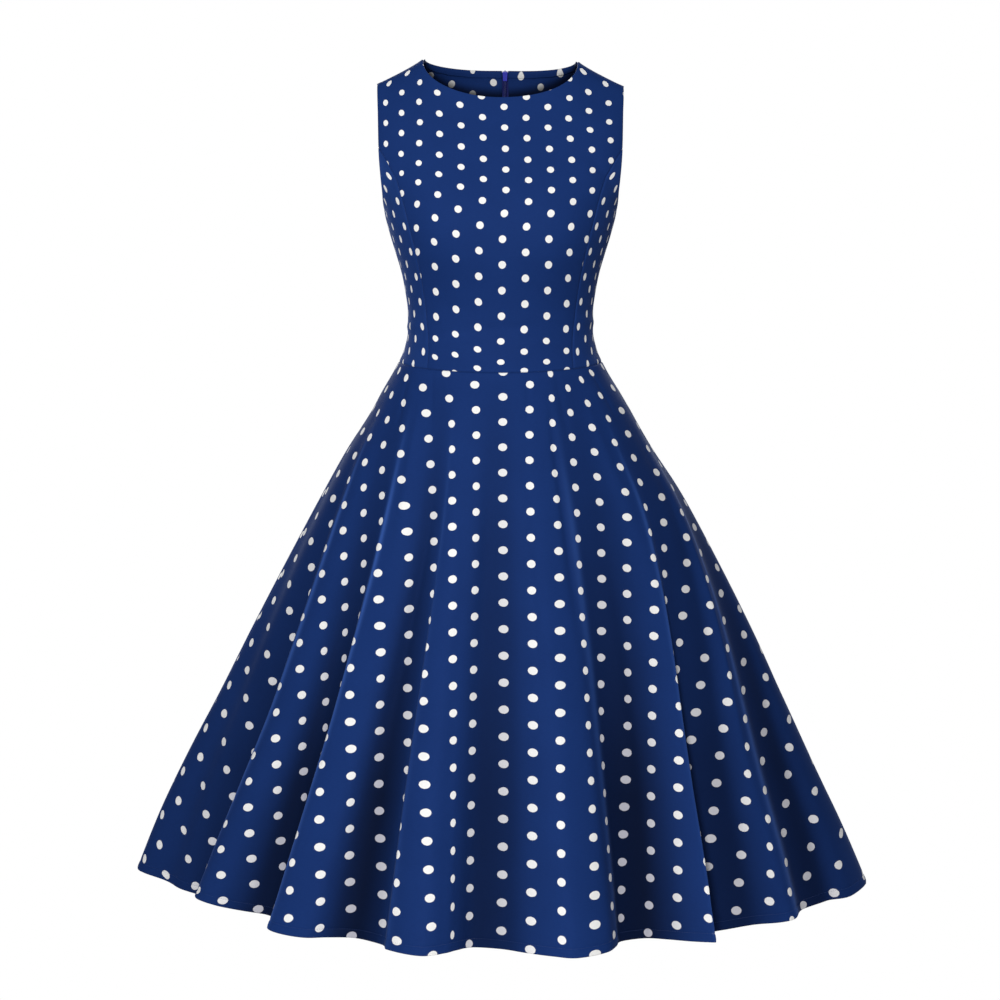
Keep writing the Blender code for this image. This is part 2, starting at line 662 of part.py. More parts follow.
bm = bmesh.new()
bmesh.ops.create_cube(bm, size=1.0)
for vert in bm.verts:
    # the body narrows towards its lower end, as a slider does
    narrow = 0.78 if vert.co.y < 0 else 1.0
    vert.co = (vert.co.x * BODY_THICK, vert.co.y * (SLIDER_UP + SLIDER_DOWN), vert.co.z * 2 * BODY_HALF * narrow)
slider_mesh = bpy.data.meshes.new("zip_slider")
bm.to_mesh(slider_mesh)
bm.free()
slider = bpy.data.objects.new("zip_slider", slider_mesh)
slider_mesh.materials.append(material("zip_metal", VIOLET_BLUE, 0.35, 0.2))
slider.location = zip_top - out * (BODY_IN + BODY_THICK / 2) + up * (SLIDER_UP - SLIDER_DOWN) / 2
slider.rotation_euler = Matrix((out, up, side)).transposed().to_euler()
slider.parent = root
collection.objects.link(slider)
rounded = slider.modifiers.new("rounded", "BEVEL")
rounded.width = 0.0006
rounded.segments = 2
joined = slider.modifiers.new("bridge", "BOOLEAN")
joined.operation = "UNION"
joined.solver = "EXACT"
joined.object = bridge

# The pull tab: an eye round the slider's loop, a neck, and a round lower end with a small hole.
PULL_LONG, PULL_THICK = 0.0225, 0.0009
outline = ([(0.0023, 0.0), (0.0021, 0.0005), (-0.0021, 0.0005), (-0.0023, 0.0),
            (-0.0023, -0.0042), (-0.0017, -0.0062), (-0.0017, -0.0090)]
           + arc(0, -PULL_LONG + 0.0042, 0.0032, 165, 375, 12) + [(0.0017, -0.0090), (0.0017, -0.0062), (0.0023, -0.0042)])
eye_hole = [(-0.0013, -0.0005), (0.0013, -0.0005), (0.0013, -0.0036), (0.0009, -0.0040),
            (-0.0009, -0.0040), (-0.0013, -0.0036)]
end_hole = arc(0, -PULL_LONG + 0.0042, 0.0013, 0, 330, 11)
pivot = zip_top + out * PIVOT_OUT - up * PIVOT_DOWN
pull = flat_shape("zip_pull", [outline, eye_hole, end_hole], PULL_THICK / 2, pivot, (-side, up, out))
pull.parent = root
pull.data.materials.append(material("zip_pull_metal", VIOLET_BLUE, 0.35, 0.2))
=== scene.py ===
"""Looks of the sleeveless a-line dress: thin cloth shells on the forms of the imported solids.

The frame is the part's own: metres, +Z up, +X to the right as seen from the front, which faces -Y.  The
section tables and surface functions are those of the part; on top of them come the lie of the print, the
overlapping folds of the skirt front, creases, seams, hems, stitches, the zip's teeth and the finishes.
"""
import math

import bpy
import numpy as np
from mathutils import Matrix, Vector


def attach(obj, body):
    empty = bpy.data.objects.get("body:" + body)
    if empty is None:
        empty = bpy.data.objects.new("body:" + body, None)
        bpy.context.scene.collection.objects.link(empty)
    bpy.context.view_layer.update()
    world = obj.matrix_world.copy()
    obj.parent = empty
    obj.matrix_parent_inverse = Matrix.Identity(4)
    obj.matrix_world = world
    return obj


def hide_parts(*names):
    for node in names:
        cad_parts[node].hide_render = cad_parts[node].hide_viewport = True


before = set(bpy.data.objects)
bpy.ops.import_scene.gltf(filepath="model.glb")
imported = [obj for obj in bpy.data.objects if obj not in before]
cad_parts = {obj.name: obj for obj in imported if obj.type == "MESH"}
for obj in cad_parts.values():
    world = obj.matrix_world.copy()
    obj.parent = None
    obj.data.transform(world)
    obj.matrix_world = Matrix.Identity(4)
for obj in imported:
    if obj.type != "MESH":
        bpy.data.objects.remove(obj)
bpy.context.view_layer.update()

# ----------------------------------------------------------------------------------------------- sizes
GAP = 0.0003             # clearance between neighbouring pieces
SHOULDER_SEAM = 0.0005   # clearance between the outer edges at the shoulder, where the walls lean together
NARROW = 0.0035          # width of the turned strip that runs along every seam

SHOULDER_IN = (0.0993, 0.0163)     # x, z of the neck end of the shoulder seam
SHOULDER_OUT = (0.1572, -0.0152)   # x, z of its outer end
SHOULDER_ROLL = 0.072              # height over which front and back roll up to the shoulder seam
NECK_FRONT = -0.0352               # z of the front neck edge at the centre
NECK_BACK = 0.0036                 # z of the back neck edge at the centre
NECK_SHARE = 0.56                  # share of a half panel's columns that end on the neck edge
UNDERARM = -0.1740                 # z of the armhole's lowest point
ARMHOLE_SWING = 28.0               # degrees that the armhole edge stands back from the side
ARMHOLE_ROUND = 0.0600             # height over which the armhole opens above its lowest point
SHOULDER_LEAN = 0.0030             # the shoulder at +X hangs this much lower than the other
ZIP_X = 0.0060                     # the zip stands this far off the centre plane at the neck

WAIST_SIDE = -0.3680               # z of the waist seam at the sides and the back
WAIST_DIP = 0.0088                 # how much lower it is at the centre front
HEM_SIDE = -1.0370                 # z of the hem at the sides
HEM_DIP = 0.0110                   # how much lower it is at the centre front
ZIP_END = -0.5050                  # z of the zip's lower end

BUST_FULL, BUST_X, BUST_Z = 0.0085, 0.080, -0.206   # fullness over each bust point
BUST_WIDE, BUST_TALL = 0.042, 0.058

# Level sections of the bodice: half width at the side or armhole edge, depth in front of and behind the
# side plane, and how square the section is (2 is an ellipse).
BODICE_COLUMNS = ("z", "half_width", "front", "back", "square")
BODICE = (
    (0.0165, 0.1572, 0.0430, 0.0580, 2.25),
    (-0.0152, 0.1572, 0.0520, 0.0660, 2.32),
    (-0.0352, 0.1565, 0.0600, 0.0725, 2.40),
    (-0.0500, 0.1558, 0.0670, 0.0780, 2.46),
    (-0.1000, 0.1542, 0.0915, 0.0930, 2.50),
    (-0.1500, 0.1503, 0.1145, 0.1030, 2.42),
    (-0.1740, 0.1487, 0.1220, 0.1060, 2.36),
    (-0.2050, 0.1415, 0.1265, 0.1065, 2.30),
    (-0.2300, 0.1340, 0.1245, 0.1050, 2.24),
    (-0.2550, 0.1268, 0.1185, 0.1025, 2.18),
    (-0.2800, 0.1220, 0.1110, 0.0990, 2.14),
    (-0.3050, 0.1191, 0.1050, 0.0962, 2.10),
    (-0.3280, 0.1191, 0.1025, 0.0955, 2.08),
    (-0.3540, 0.1245, 0.1055, 0.0990, 2.06),
    (-0.3680, 0.1308, 0.1100, 0.1035, 2.05),
    (-0.3850, 0.1400, 0.1165, 0.1105, 2.04),
)

# The princess seam, from the armhole down to the waist.
PRINCESS_COLUMNS = ("z", "x")
PRINCESS = (
    (-0.0980, 0.1542), (-0.1070, 0.1480), (-0.1250, 0.1378), (-0.1440, 0.1292), (-0.1840, 0.1180),
    (-0.2240, 0.1080), (-0.2700, 0.0990), (-0.3060, 0.0945), (-0.3500, 0.0912), (-0.3850, 0.0935),
)

# Level sections of the skirt, before its folds.
SKIRT_COLUMNS = ("z", "left", "right", "front", "back", "square")
SKIRT = (
    (-0.3600, 0.1270, 0.1270, 0.1070, 0.1005, 2.05),
    (-0.3680, 0.1308, 0.1308, 0.1100, 0.1035, 2.05),
    (-0.3850, 0.1400, 0.1400, 0.1165, 0.1105, 2.04),
    (-0.4060, 0.1530, 0.1532, 0.1280, 0.1235, 2.02),
    (-0.4310, 0.1672, 0.1685, 0.1405, 0.1375, 2.00),
    (-0.4830, 0.2010, 0.1985, 0.1620, 0.1640, 2.00),
    (-0.5350, 0.2303, 0.2317, 0.1830, 0.1870, 2.00),
    (-0.6140, 0.2725, 0.2739, 0.2110, 0.2170, 2.00),
    (-0.7190, 0.3270, 0.3271, 0.2440, 0.2510, 2.00),
    (-0.7990, 0.3672, 0.3647, 0.2680, 0.2740, 2.00),
    (-0.8790, 0.4095, 0.4024, 0.2900, 0.2960, 2.00),
    (-0.9590, 0.4482, 0.4410, 0.3120, 0.3160, 2.00),
    (-1.0370, 0.4800, 0.4745, 0.3320, 0.3350, 2.00),
    (-1.0700, 0.4930, 0.4880, 0.3400, 0.3430, 2.00),
)

# The skirt's folds, round from the left side across the front and on round the back: where each ridge and
# each trough between them lies at the waist and at the hem, in degrees from the centre front, and how far
# it stands out of the plain section at the hem, as a share of it.
FOLD_COLUMNS = ("name", "waist_deg", "hem_deg", "reach")
FOLDS = (
    ("ridge_side_left", -104.0, -91.0, 0.000),
    ("trough_side_left", -90.0, -74.0, -0.138),
    ("ridge_a", -79.0, -58.0, -0.118),
    ("trough_ab", -67.0, -47.0, -0.188),
    ("ridge_b", -56.0, -31.5, -0.020),
    ("trough_bc", -36.0, -22.0, -0.100),
    ("ridge_c", -26.0, -10.8, 0.092),
    ("trough_middle", -4.0, -2.2, -0.062),
    ("ridge_d", 34.0, 9.3, 0.105),
    ("trough_de", 42.0, 21.0, -0.082),
    ("ridge_e", 70.0, 28.3, 0.062),
    ("trough_ef", 77.0, 37.2, -0.052),
    ("ridge_f", 88.0, 47.0, 0.000),
    ("trough_side_right", 99.0, 58.0, -0.068),
    ("ridge_side_right", 108.0, 78.0, 0.020),
    ("trough_back_1", 117.0, 96.0, -0.105),
    ("ridge_back_1", 125.0, 109.0, -0.012),
    ("trough_back_2", 133.0, 121.0, -0.115),
    ("ridge_back_2", 142.0, 134.0, 0.034),
    ("trough_back_3", 150.0, 146.5, -0.072),
    ("ridge_back_3", 161.0, 159.0, 0.085),
    ("trough_back_4", 171.0, 170.5, -0.048),
    ("ridge_back_4", 183.0, 183.5, 0.060),
    ("trough_back_5", 193.0, 195.0, -0.042),
    ("ridge_back_5", 203.0, 206.5, 0.090),
    ("trough_back_6", 212.0, 219.0, -0.078),
    ("ridge_back_6", 222.0, 231.5, 0.028),
    ("trough_back_7", 232.0, 243.5, -0.108),
    ("ridge_back_7", 240.0, 254.0, -0.030),
    ("trough_back_8", 248.0, 262.0, -0.095),
)
FOLD_START = 0.03        # share of the skirt's length above which no fold shows
FOLD_LEAN = 2.3          # how soon a fold line turns to its hem direction

NAVY = (0.012, 0.030, 0.140)
VIOLET_BLUE = (0.035, 0.028, 0.330)


# ------------------------------------------------------------------------------------------- tables
def reader(rows, columns, key, name):
    """A smooth function through one column of a table (monotone between rows, so it never overshoots)."""
    i, j = columns.index(key), columns.index(name)
    pairs = sorted((row[i], row[j]) for row in rows)
    xs, ys = [p[0] for p in pairs], [p[1] for p in pairs]
    steps = [(ys[k + 1] - ys[k]) / (xs[k + 1] - xs[k]) for k in range(len(xs) - 1)]
    slopes = [steps[0]]
    for a, b in zip(steps, steps[1:]):
        slopes.append(0.0 if a * b <= 0 else 2 * a * b / (a + b))
    slopes.append(steps[-1])

    def read(x):
        x = min(max(x, xs[0]), xs[-1])
        k = max(i for i in range(len(xs) - 1) if xs[i] <= x)
        h = xs[k + 1] - xs[k]
        t = (x - xs[k]) / h
        return (ys[k] * (1 + 2 * t) * (1 - t) ** 2 + ys[k + 1] * t * t * (3 - 2 * t)
                + h * t * (1 - t) * (slopes[k] * (1 - t) - slopes[k + 1] * t))

    return read


B = {name: reader(BODICE, BODICE_COLUMNS, "z", name) for name in BODICE_COLUMNS[1:]}
S = {name: reader(SKIRT, SKIRT_COLUMNS, "z", name) for name in SKIRT_COLUMNS[1:]}
princess_x = reader(PRINCESS, PRINCESS_COLUMNS, "z", "x")


def lerp(a, b, t):
    return a + (b - a) * t


def ease(t):
    return t * t * (3 - 2 * t)


# ------------------------------------------------------------------------------------------- bodice
def armhole_angle(z):
    """Azimuth of the panel's outer edge: the side seam, then the armhole above it."""
    if z <= UNDERARM:
        return 90.0
    rise = min((z - UNDERARM) / ARMHOLE_ROUND, 1.0)
    return 90.0 - ARMHOLE_SWING * math.sin(math.pi / 2 * rise) ** 0.6


def section_width(z):
    """Half width of the whole section, which runs on past the armhole edge."""
    return B["half_width"](z) / math.sin(math.radians(armhole_angle(z))) ** (2 / B["square"](z))


def angle_of(x, z):
    """Azimuth at which the section at z stands x off the centre plane."""
    share = min(abs(x) / section_width(z), 1.0)
    return math.copysign(math.degrees(math.asin(share ** (B["square"](z) / 2))), x)


def shoulder_line(x):
    """Height of the shoulder seam, run on as a cone inside the neck."""
    x = abs(x)
    (x0, z0), (x1, z1) = SHOULDER_IN, SHOULDER_OUT
    if x < x0:
        return z0 + 0.65 * (x0 - x)
    return z0 + (z1 - z0) * min((x - x0) / (x1 - x0), 1.0) ** 0.85


def bodice_point(side, angle, z):
    """A point of the bodice.  side is "front" or "back", angle is off its centre line, + towards +X."""
    a = math.radians(abs(angle))
    power = 2 / B["square"](z)
    x = section_width(z) * math.sin(a) ** power
    depth = B[side](z) * max(math.cos(a), 0.0) ** power
    if side == "front":
        depth += (BUST_FULL * math.exp(-((x - BUST_X) / BUST_WIDE) ** 2) * math.exp(-((z - BUST_Z) / BUST_TALL) ** 2)
                  * min(1.0, 3 * math.cos(a)))
    below = min(max((shoulder_line(x) - z) / SHOULDER_ROLL, 0.0), 1.0)
    depth *= math.sqrt(1 - (1 - below) ** 2)
    depth = max(depth, SHOULDER_SEAM / 2)
    return Vector((math.copysign(x, angle), -depth if side == "front" else depth, z))


def leaned(p):
    """The finished bodice point, with the lean between the shoulders."""
    rise = min(max((p.z - UNDERARM) / (SHOULDER_OUT[1] - UNDERARM), 0.0), 1.0)
    return Vector((p.x, p.y, p.z - SHOULDER_LEAN * ease(rise) * ease(min(max(p.x / SHOULDER_IN[0], 0.0), 1.0))))


def waist_height(azimuth):
    return WAIST_SIDE - WAIST_DIP * max(0.0, math.cos(math.radians(azimuth))) ** 1.5


def top_edge(side, s, x_start):
    """x and z of the panel's top edge: the neck curve for s up to NECK_SHARE, then the shoulder seam."""
    low = NECK_FRONT if side == "front" else NECK_BACK
    if s <= NECK_SHARE:
        a = lerp(math.asin(x_start / SHOULDER_IN[0]), math.pi / 2, s / NECK_SHARE)
        return SHOULDER_IN[0] * math.sin(a), lerp(low, SHOULDER_IN[1], 1 - math.cos(a))
    x = lerp(SHOULDER_IN[0], SHOULDER_OUT[0], (s - NECK_SHARE) / (1 - NECK_SHARE))
    return x, shoulder_line(x)


def zip_x(z):
    """The centre back line leans a little off the centre plane towards the neck."""
    return ZIP_X * ease(min(max((z - WAIST_SIDE) / (NECK_BACK - WAIST_SIDE), 0.0), 1.0))


def bodice_panel(side, sign, s, t, joint, share, edge_of, start_x):
    """A point of a panel that reaches from the waist to the neck and shoulder.

    s runs 0..1 from the centre to the outer edge on the side given by sign; t runs 0..1 upwards and passes
    the height `joint` at t = share.  Above the joint the columns fan out to the neck edge and shoulder.
    """
    def across(z, edge):
        return lerp(angle_of(start_x(z), z), edge, s)

    if t <= share:
        angle = across(WAIST_SIDE, edge_of(WAIST_SIDE))
        azimuth = angle if side == "front" else 180 - angle
        z = lerp(waist_height(azimuth) + GAP / 2, joint, t / share)
        angle = across(z, edge_of(z))
    else:
        u = (t - share) / (1 - share)
        x_top, z_top = top_edge(side, s, start_x(NECK_FRONT if side == "front" else NECK_BACK))
        z = lerp(joint, z_top, math.sin(math.pi / 2 * u))
        edge = armhole_angle(z)
        # the columns keep to their share of the panel near the joint and of the top edge near the top
        angle = lerp(across(z, edge), edge * angle_of(x_top, z_top) / armhole_angle(z_top), ease(u))
    p = bodice_point(side, angle, z)
    return leaned(Vector((p.x * sign, p.y, p.z)))


# -------------------------------------------------------------------------------------------- skirt
def fold_angle(row, t):
    return lerp(row[2], row[1], (1 - t) ** FOLD_LEAN)


def fold_reach(azimuth, t):
    """How far the cloth stands out of the plain section, as a share of it."""
    rows = FOLDS + ((FOLDS[0][0], FOLDS[0][1] + 360, FOLDS[0][2] + 360, FOLDS[0][3]),)
    first = fold_angle(rows[0], t)
    a = (azimuth - first) % 360 + first
    for one, two in zip(rows, rows[1:]):
        a0, a1 = fold_angle(one, t), fold_angle(two, t)
        if a <= a1:
            u = (a - a0) / (a1 - a0)
            wave = lerp(one[3], two[3], 0.5 - 0.5 * math.cos(math.pi * u))
            return wave * max(0.0, (t - FOLD_START) / (1 - FOLD_START))
    return 0.0


def hem_height(azimuth):
    return HEM_SIDE - HEM_DIP * max(0.0, math.cos(math.radians(azimuth)))


def skirt_point(azimuth, t):
    """A point of the skirt: azimuth off the centre front, + towards +X; t is 0 at the waist, 1 at the hem."""
    z = lerp(waist_height(azimuth) - GAP / 2, hem_height(azimuth), t)
    a = math.radians(azimuth)
    power = 2 / S["square"](z)
    sin, cos = math.sin(a), math.cos(a)
    wide = S["right" if sin >= 0 else "left"](z)
    deep = S["front" if cos >= 0 else "back"](z)
    grow = 1 + fold_reach(azimuth, t)
    return Vector((math.copysign(wide * abs(sin) ** power * grow, sin),
                   -math.copysign(deep * abs(cos) ** power * grow, cos), z))


# ------------------------------------------------------------------------------ print and cloth sizes
COLUMN = 0.0297          # spacing of the columns of dots in the flat cloth
STEP = 0.0160            # half the spacing of the dots in a column; neighbouring columns are a half apart
DOT_WIDE, DOT_TALL = 0.160, 0.300    # radius of a dot as a share of COLUMN and of STEP
CLOTH = 0.0009           # the cloth itself
TURNED = 0.0017          # cloth turned under at the hem
HEM_TURN = 0.0105        # depth of the hem's turning
ROLL = 0.0026            # width over which an edge rolls into its seam
LAP = 0.0003             # by which the front's cloth goes past a side seam, so that no light comes through
FLAT_RADIUS = 0.4573     # the skirt front is cut as a sector: radius of its waist edge
FLAT_LENGTH = 0.6930     # and from there to its hem

# The skirt front's own lines.  Each row is a line of the cloth, radial in the flat cut (degrees off the
# centre front); hem_deg is the direction in which it reaches the hem of the worn dress, and reach how far
# it stands out of the plain section there.  Where hem_deg falls from one row to the next the cloth turns
# back under itself: the folds A and B on the left, E and F on the right.
LINE_COLUMNS = ("line", "hem_deg", "reach")
LINES = (
    (-28.75, -123.2, 0.000),
    (-27.50, -105.6, 0.000),
    (-26.25, -88.3, -0.010),
    (-25.00, -76.5, -0.077),
    (-23.75, -68.7, -0.126),
    (-22.50, -64.5, -0.159),
    (-21.25, -67.2, -0.130),
    (-20.00, -63.9, -0.111),
    (-18.75, -57.4, -0.121),
    (-17.50, -51.2, -0.146),
    (-16.25, -45.7, -0.166),
    (-15.00, -40.5, -0.129),
    (-13.75, -38.6, -0.057),
    (-12.50, -34.5, -0.023),
    (-11.25, -29.7, -0.018),
    (-10.00, -26.8, -0.053),
    (-8.75, -22.8, -0.076),
    (-7.50, -17.4, -0.027),
    (-6.25, -15.0, 0.034),
    (-5.00, -10.3, 0.078),
    (-3.75, -7.5, 0.036),
    (-2.50, -6.2, -0.002),
    (-1.25, -4.1, -0.043),
    (0.00, 0.1, -0.025),
    (1.25, 3.4, 0.022),
    (2.50, 6.9, 0.072),
    (3.75, 9.8, 0.101),
    (5.00, 14.4, 0.053),
    (6.25, 16.9, -0.009),
    (7.50, 18.8, -0.062),
    (8.75, 23.0, -0.074),
    (10.00, 25.7, -0.035),
    (11.25, 28.1, 0.017),
    (12.50, 30.6, 0.057),
    (13.75, 29.2, -0.006),
    (15.00, 32.0, -0.046),
    (16.25, 37.6, -0.050),
    (17.50, 42.8, -0.043),
    (18.75, 46.6, -0.011),
    (20.00, 50.1, -0.008),
    (21.25, 56.4, -0.052),
    (22.50, 63.9, -0.036),
    (23.75, 69.0, 0.003),
    (25.00, 82.2, 0.008),
    (26.25, 93.7, -0.024),
    (27.50, 96.5, -0.064),
    (28.75, 99.3, -0.100),
)
# How far a line strays sideways, in degrees: half way down, near the waist, and how far the print lies
# past it at the waist.
STRAY_COLUMNS = ("line", "half_way", "near_waist", "print_drift")
STRAY = (
    (-30.0, -6.3, -2.2, 1.7),
    (-25.0, 0.2, 0.3, 1.8),
    (-20.0, 10.9, 2.4, 2.0),
    (-15.0, 4.5, 5.0, 2.0),
    (-10.0, 2.7, 6.3, 1.0),
    (-5.0, -0.4, 2.3, 0.2),
    (0.0, 0.5, -0.4, 0.0),
    (5.0, 0.2, -1.5, 0.3),
    (10.0, 2.0, -0.1, 2.3),
    (15.0, 3.2, 8.6, 4.0),
    (20.0, 1.9, 10.0, 1.8),
    (25.0, 7.3, 8.3, 1.0),
    (30.0, 4.1, 2.7, 0.8),
)
# How dark the painted shade makes each line of the skirt front near the hem, standing in for the little light that
# reaches the folds: full in the narrow valleys.
PAINTED_SHADE_COLUMNS = ("line", "dark")
PAINTED_SHADE = (
    (-28.75, 0.30), (-26.0, 0.25), (-24.5, 0.40), (-22.8, 0.75), (-21.5, 0.70), (-20.6, 0.10), (-19.3, 0.10),
    (-18.0, 0.50), (-16.8, 0.95), (-15.2, 1.00), (-13.9, 0.25), (-13.0, 0.00), (-11.5, 0.05), (-10.6, 0.30),
    (-9.6, 0.85), (-8.8, 1.00), (-8.0, 0.80), (-7.2, 0.35), (-6.4, 0.15), (-5.2, 0.00), (-3.5, 0.10),
    (-2.2, 0.45), (-0.9, 0.75), (0.3, 0.62), (1.6, 0.20), (3.5, 0.00), (5.2, 0.08), (6.2, 0.45), (7.4, 0.92),
    (8.8, 1.00), (10.0, 0.70), (11.2, 0.25), (12.4, 0.00), (13.0, 0.15), (14.2, 0.70), (15.6, 0.75),
    (17.0, 0.80), (18.2, 0.40), (19.4, 0.08), (20.2, 0.05), (21.0, 0.60), (22.0, 0.85), (23.4, 0.40),
    (24.6, 0.15), (26.0, 0.20), (28.75, 0.30),
)
# Painted highlights on the fold edges, where they would catch the light: the line, how much, and how wide in lines.
RIM_COLUMNS = ("line", "painted_highlight_amount", "wide")
RIMS = (
    (-20.98, 0.90, 0.30),
    (-13.75, 1.00, 0.30),
    (-6.80, 0.25, 0.40),
    (6.50, 0.35, 0.40),
    (12.58, 0.62, 0.22),
    (20.40, 0.75, 0.30),
)
WAIST_LINE = (1.302, 3.9106, -0.7966)    # where a line starts at the waist: constant, slope, cubed part
LINE_LEAN = 2.071        # how soon it turns to its hem direction
LINE_GROW = 0.997        # how soon it reaches out

# Rows of dots up the centre front of the bodice, counted in half spacings from the lowest whole dot.
ROW_COLUMNS = ("z", "row")
ROWS = (
    (-0.4000, -3.0), (-0.3745, -1.0), (-0.3644, 0.0), (-0.3514, 1.0), (-0.3388, 2.0), (-0.3242, 3.0),
    (-0.3072, 4.0), (-0.2926, 5.0), (-0.2753, 6.0), (-0.2606, 7.0), (-0.2435, 8.0), (-0.2286, 9.0),
    (-0.2121, 10.0), (-0.1971, 11.0), (-0.1806, 12.0), (-0.1662, 13.0), (-0.1518, 14.0), (-0.1395, 15.0),
    (-0.1266, 16.0), (-0.1143, 17.0), (-0.1006, 18.0), (-0.0874, 19.0), (-0.0738, 20.0), (-0.0618, 21.0),
    (-0.0477, 22.0), (-0.0353, 23.0), (0.0200, 27.3),
)
# Spacing of its columns, and how far its centre column stands off the centre.
PITCH_COLUMNS = ("z", "pitch", "centre")
PITCH = (
    (-0.4000, 0.0296, 0.0004), (-0.3372, 0.0292, 0.0004), (-0.3073, 0.0291, 0.0012), (-0.2441, 0.0289, 0.0021),
    (-0.2122, 0.0287, 0.0024), (-0.1805, 0.0287, 0.0048), (-0.1522, 0.0281, 0.0068), (-0.1012, 0.0274, 0.0061),
    (-0.0495, 0.0270, 0.0045), (0.0200, 0.0268, 0.0040),
)

# The half facings' print: x and z of one dot, spacing across, how the rows lean, and down.
FACING_COLUMNS = ("x", "z", "across", "lean", "bend", "down")
FACING_LEFT = (-0.0907, -0.0020, 0.0272, 0.0075, -0.0016, 0.0150)
FACING_RIGHT = (0.0268, -0.0015, 0.0256, 0.0020, -0.0003, 0.0150)

# Creases: soft troughs (-) and ridges (+).  side is where they lie, at_top and at_end the
# line (skirt front) or azimuth (elsewhere) at their two ends, from and to the shares of the length, wide
# the half width in degrees there, high the height in metres.
CREASE_COLUMNS = ("cloth", "at_top", "at_end", "from", "to", "wide", "high")
CREASES = (
    ("front", -6.6, -6.9, 0.36, 1.02, 0.35, 0.0045),
    ("front", -8.9, -9.4, 0.20, 0.72, 0.55, -0.0035),
    ("front", -1.1, -1.7, 0.10, 0.62, 0.70, -0.0022),
    ("front", 1.9, 2.7, 0.16, 0.88, 0.60, 0.0026),
    ("front", 5.9, 5.6, 0.04, 0.50, 0.45, -0.0034),
    ("front", 8.6, 8.9, 0.34, 0.94, 0.55, 0.0030),
    ("front", 10.9, 11.8, 0.05, 0.42, 0.60, 0.0028),
    ("front", -12.4, -11.9, 0.05, 0.36, 0.60, 0.0028),
    ("front", -17.6, -17.2, 0.40, 0.98, 0.55, 0.0030),
    ("front", -23.8, -23.3, 0.48, 1.02, 0.45, 0.0026),
    ("front", 19.2, 18.9, 0.30, 0.85, 0.60, 0.0030),
    ("front", 22.4, 22.8, 0.52, 1.02, 0.50, -0.0028),
    ("front", -3.4, -3.1, 0.00, 0.11, 0.40, -0.0011),
    ("front", 3.3, 3.0, 0.00, 0.09, 0.35, -0.0010),
    ("front", 7.4, 7.8, 0.00, 0.14, 0.45, -0.0013),
    ("front", -10.6, -10.1, 0.00, 0.12, 0.40, -0.0012),
    ("front", 14.8, 14.6, 0.00, 0.10, 0.45, -0.0010),
    ("front", -16.1, -15.6, 0.00, 0.13, 0.45, -0.0011),
    ("back", 104.0, 103.0, 0.30, 0.96, 2.0, 0.0034),
    ("back", 114.0, 116.5, 0.08, 0.66, 1.8, -0.0030),
    ("back", 127.0, 127.5, 0.40, 1.02, 1.7, 0.0036),
    ("back", 138.5, 141.0, 0.04, 0.52, 1.8, -0.0028),
    ("back", 155.0, 152.0, 0.22, 0.90, 1.6, 0.0032),
    ("back", 166.0, 165.0, 0.10, 0.58, 1.7, -0.0026),
    ("back", 176.5, 176.0, 0.34, 1.02, 1.4, 0.0024),
    ("back", 189.0, 190.0, 0.16, 0.74, 1.6, -0.0030),
    ("back", 198.0, 200.5, 0.42, 1.02, 1.6, 0.0032),
    ("back", 208.0, 212.0, 0.06, 0.48, 1.9, -0.0026),
    ("back", 217.0, 225.0, 0.30, 0.92, 1.8, 0.0034),
    ("back", 228.0, 237.0, 0.12, 0.66, 1.8, -0.0030),
    ("back", 238.0, 249.0, 0.36, 1.02, 1.7, 0.0030),
    ("back", 247.0, 258.0, 0.05, 0.50, 1.9, -0.0026),
)

# Soft drag lines in the bodice: side, x and z of the middle, slope in degrees, half length, half width, high.
DRAG_COLUMNS = ("side", "x", "z", "slope", "long", "wide", "high")
DRAGS = (
    ("front", -0.060, -0.338, 9.0, 0.034, 0.0050, 0.0012),
    ("front", 0.052, -0.344, -12.0, 0.030, 0.0050, 0.0011),
    ("front", 0.010, -0.322, 4.0, 0.040, 0.0070, -0.0009),
    ("front", -0.112, -0.322, 14.0, 0.016, 0.0045, 0.0012),
    ("front", 0.112, -0.316, -16.0, 0.016, 0.0045, 0.0011),
    ("front", -0.128, -0.130, 52.0, 0.026, 0.0060, -0.0014),
    ("front", 0.127, -0.128, -50.0, 0.028, 0.0060, -0.0014),
    ("front", -0.045, -0.160, 70.0, 0.040, 0.0110, 0.0008),
    ("front", 0.038, -0.150, -74.0, 0.036, 0.0100, -0.0008),
    ("back", -0.070, -0.322, 10.0, 0.034, 0.0055, 0.0014),
    ("back", 0.064, -0.336, -8.0, 0.036, 0.0055, 0.0013),
    ("back", -0.046, -0.298, 3.0, 0.030, 0.0060, -0.0012),
    ("back", 0.090, -0.300, -14.0, 0.024, 0.0055, 0.0012),
    ("back", -0.096, -0.270, 18.0, 0.022, 0.0055, 0.0010),
    ("back", 0.110, -0.126, 48.0, 0.028, 0.0070, -0.0014),
    ("back", -0.112, -0.122, -50.0, 0.026, 0.0070, -0.0013),
)


def even_curve(rows, name_index=1):
    """A smooth curve through rows that are evenly spaced in their first column (it may turn back)."""
    xs = [row[0] for row in rows]
    ys = [row[name_index] for row in rows]
    gap = xs[1] - xs[0]

    def read(x):
        u = min(max((x - xs[0]) / gap, 1.0), len(xs) - 2.0 - 1e-9)
        i = int(u)
        f = u - i
        a, b, c, d = ys[i - 1], ys[i], ys[i + 1], ys[min(i + 2, len(ys) - 1)]
        return b + 0.5 * f * (c - a + f * (2 * a - 5 * b + 4 * c - d + f * (3 * (b - c) + d - a)))

    return read


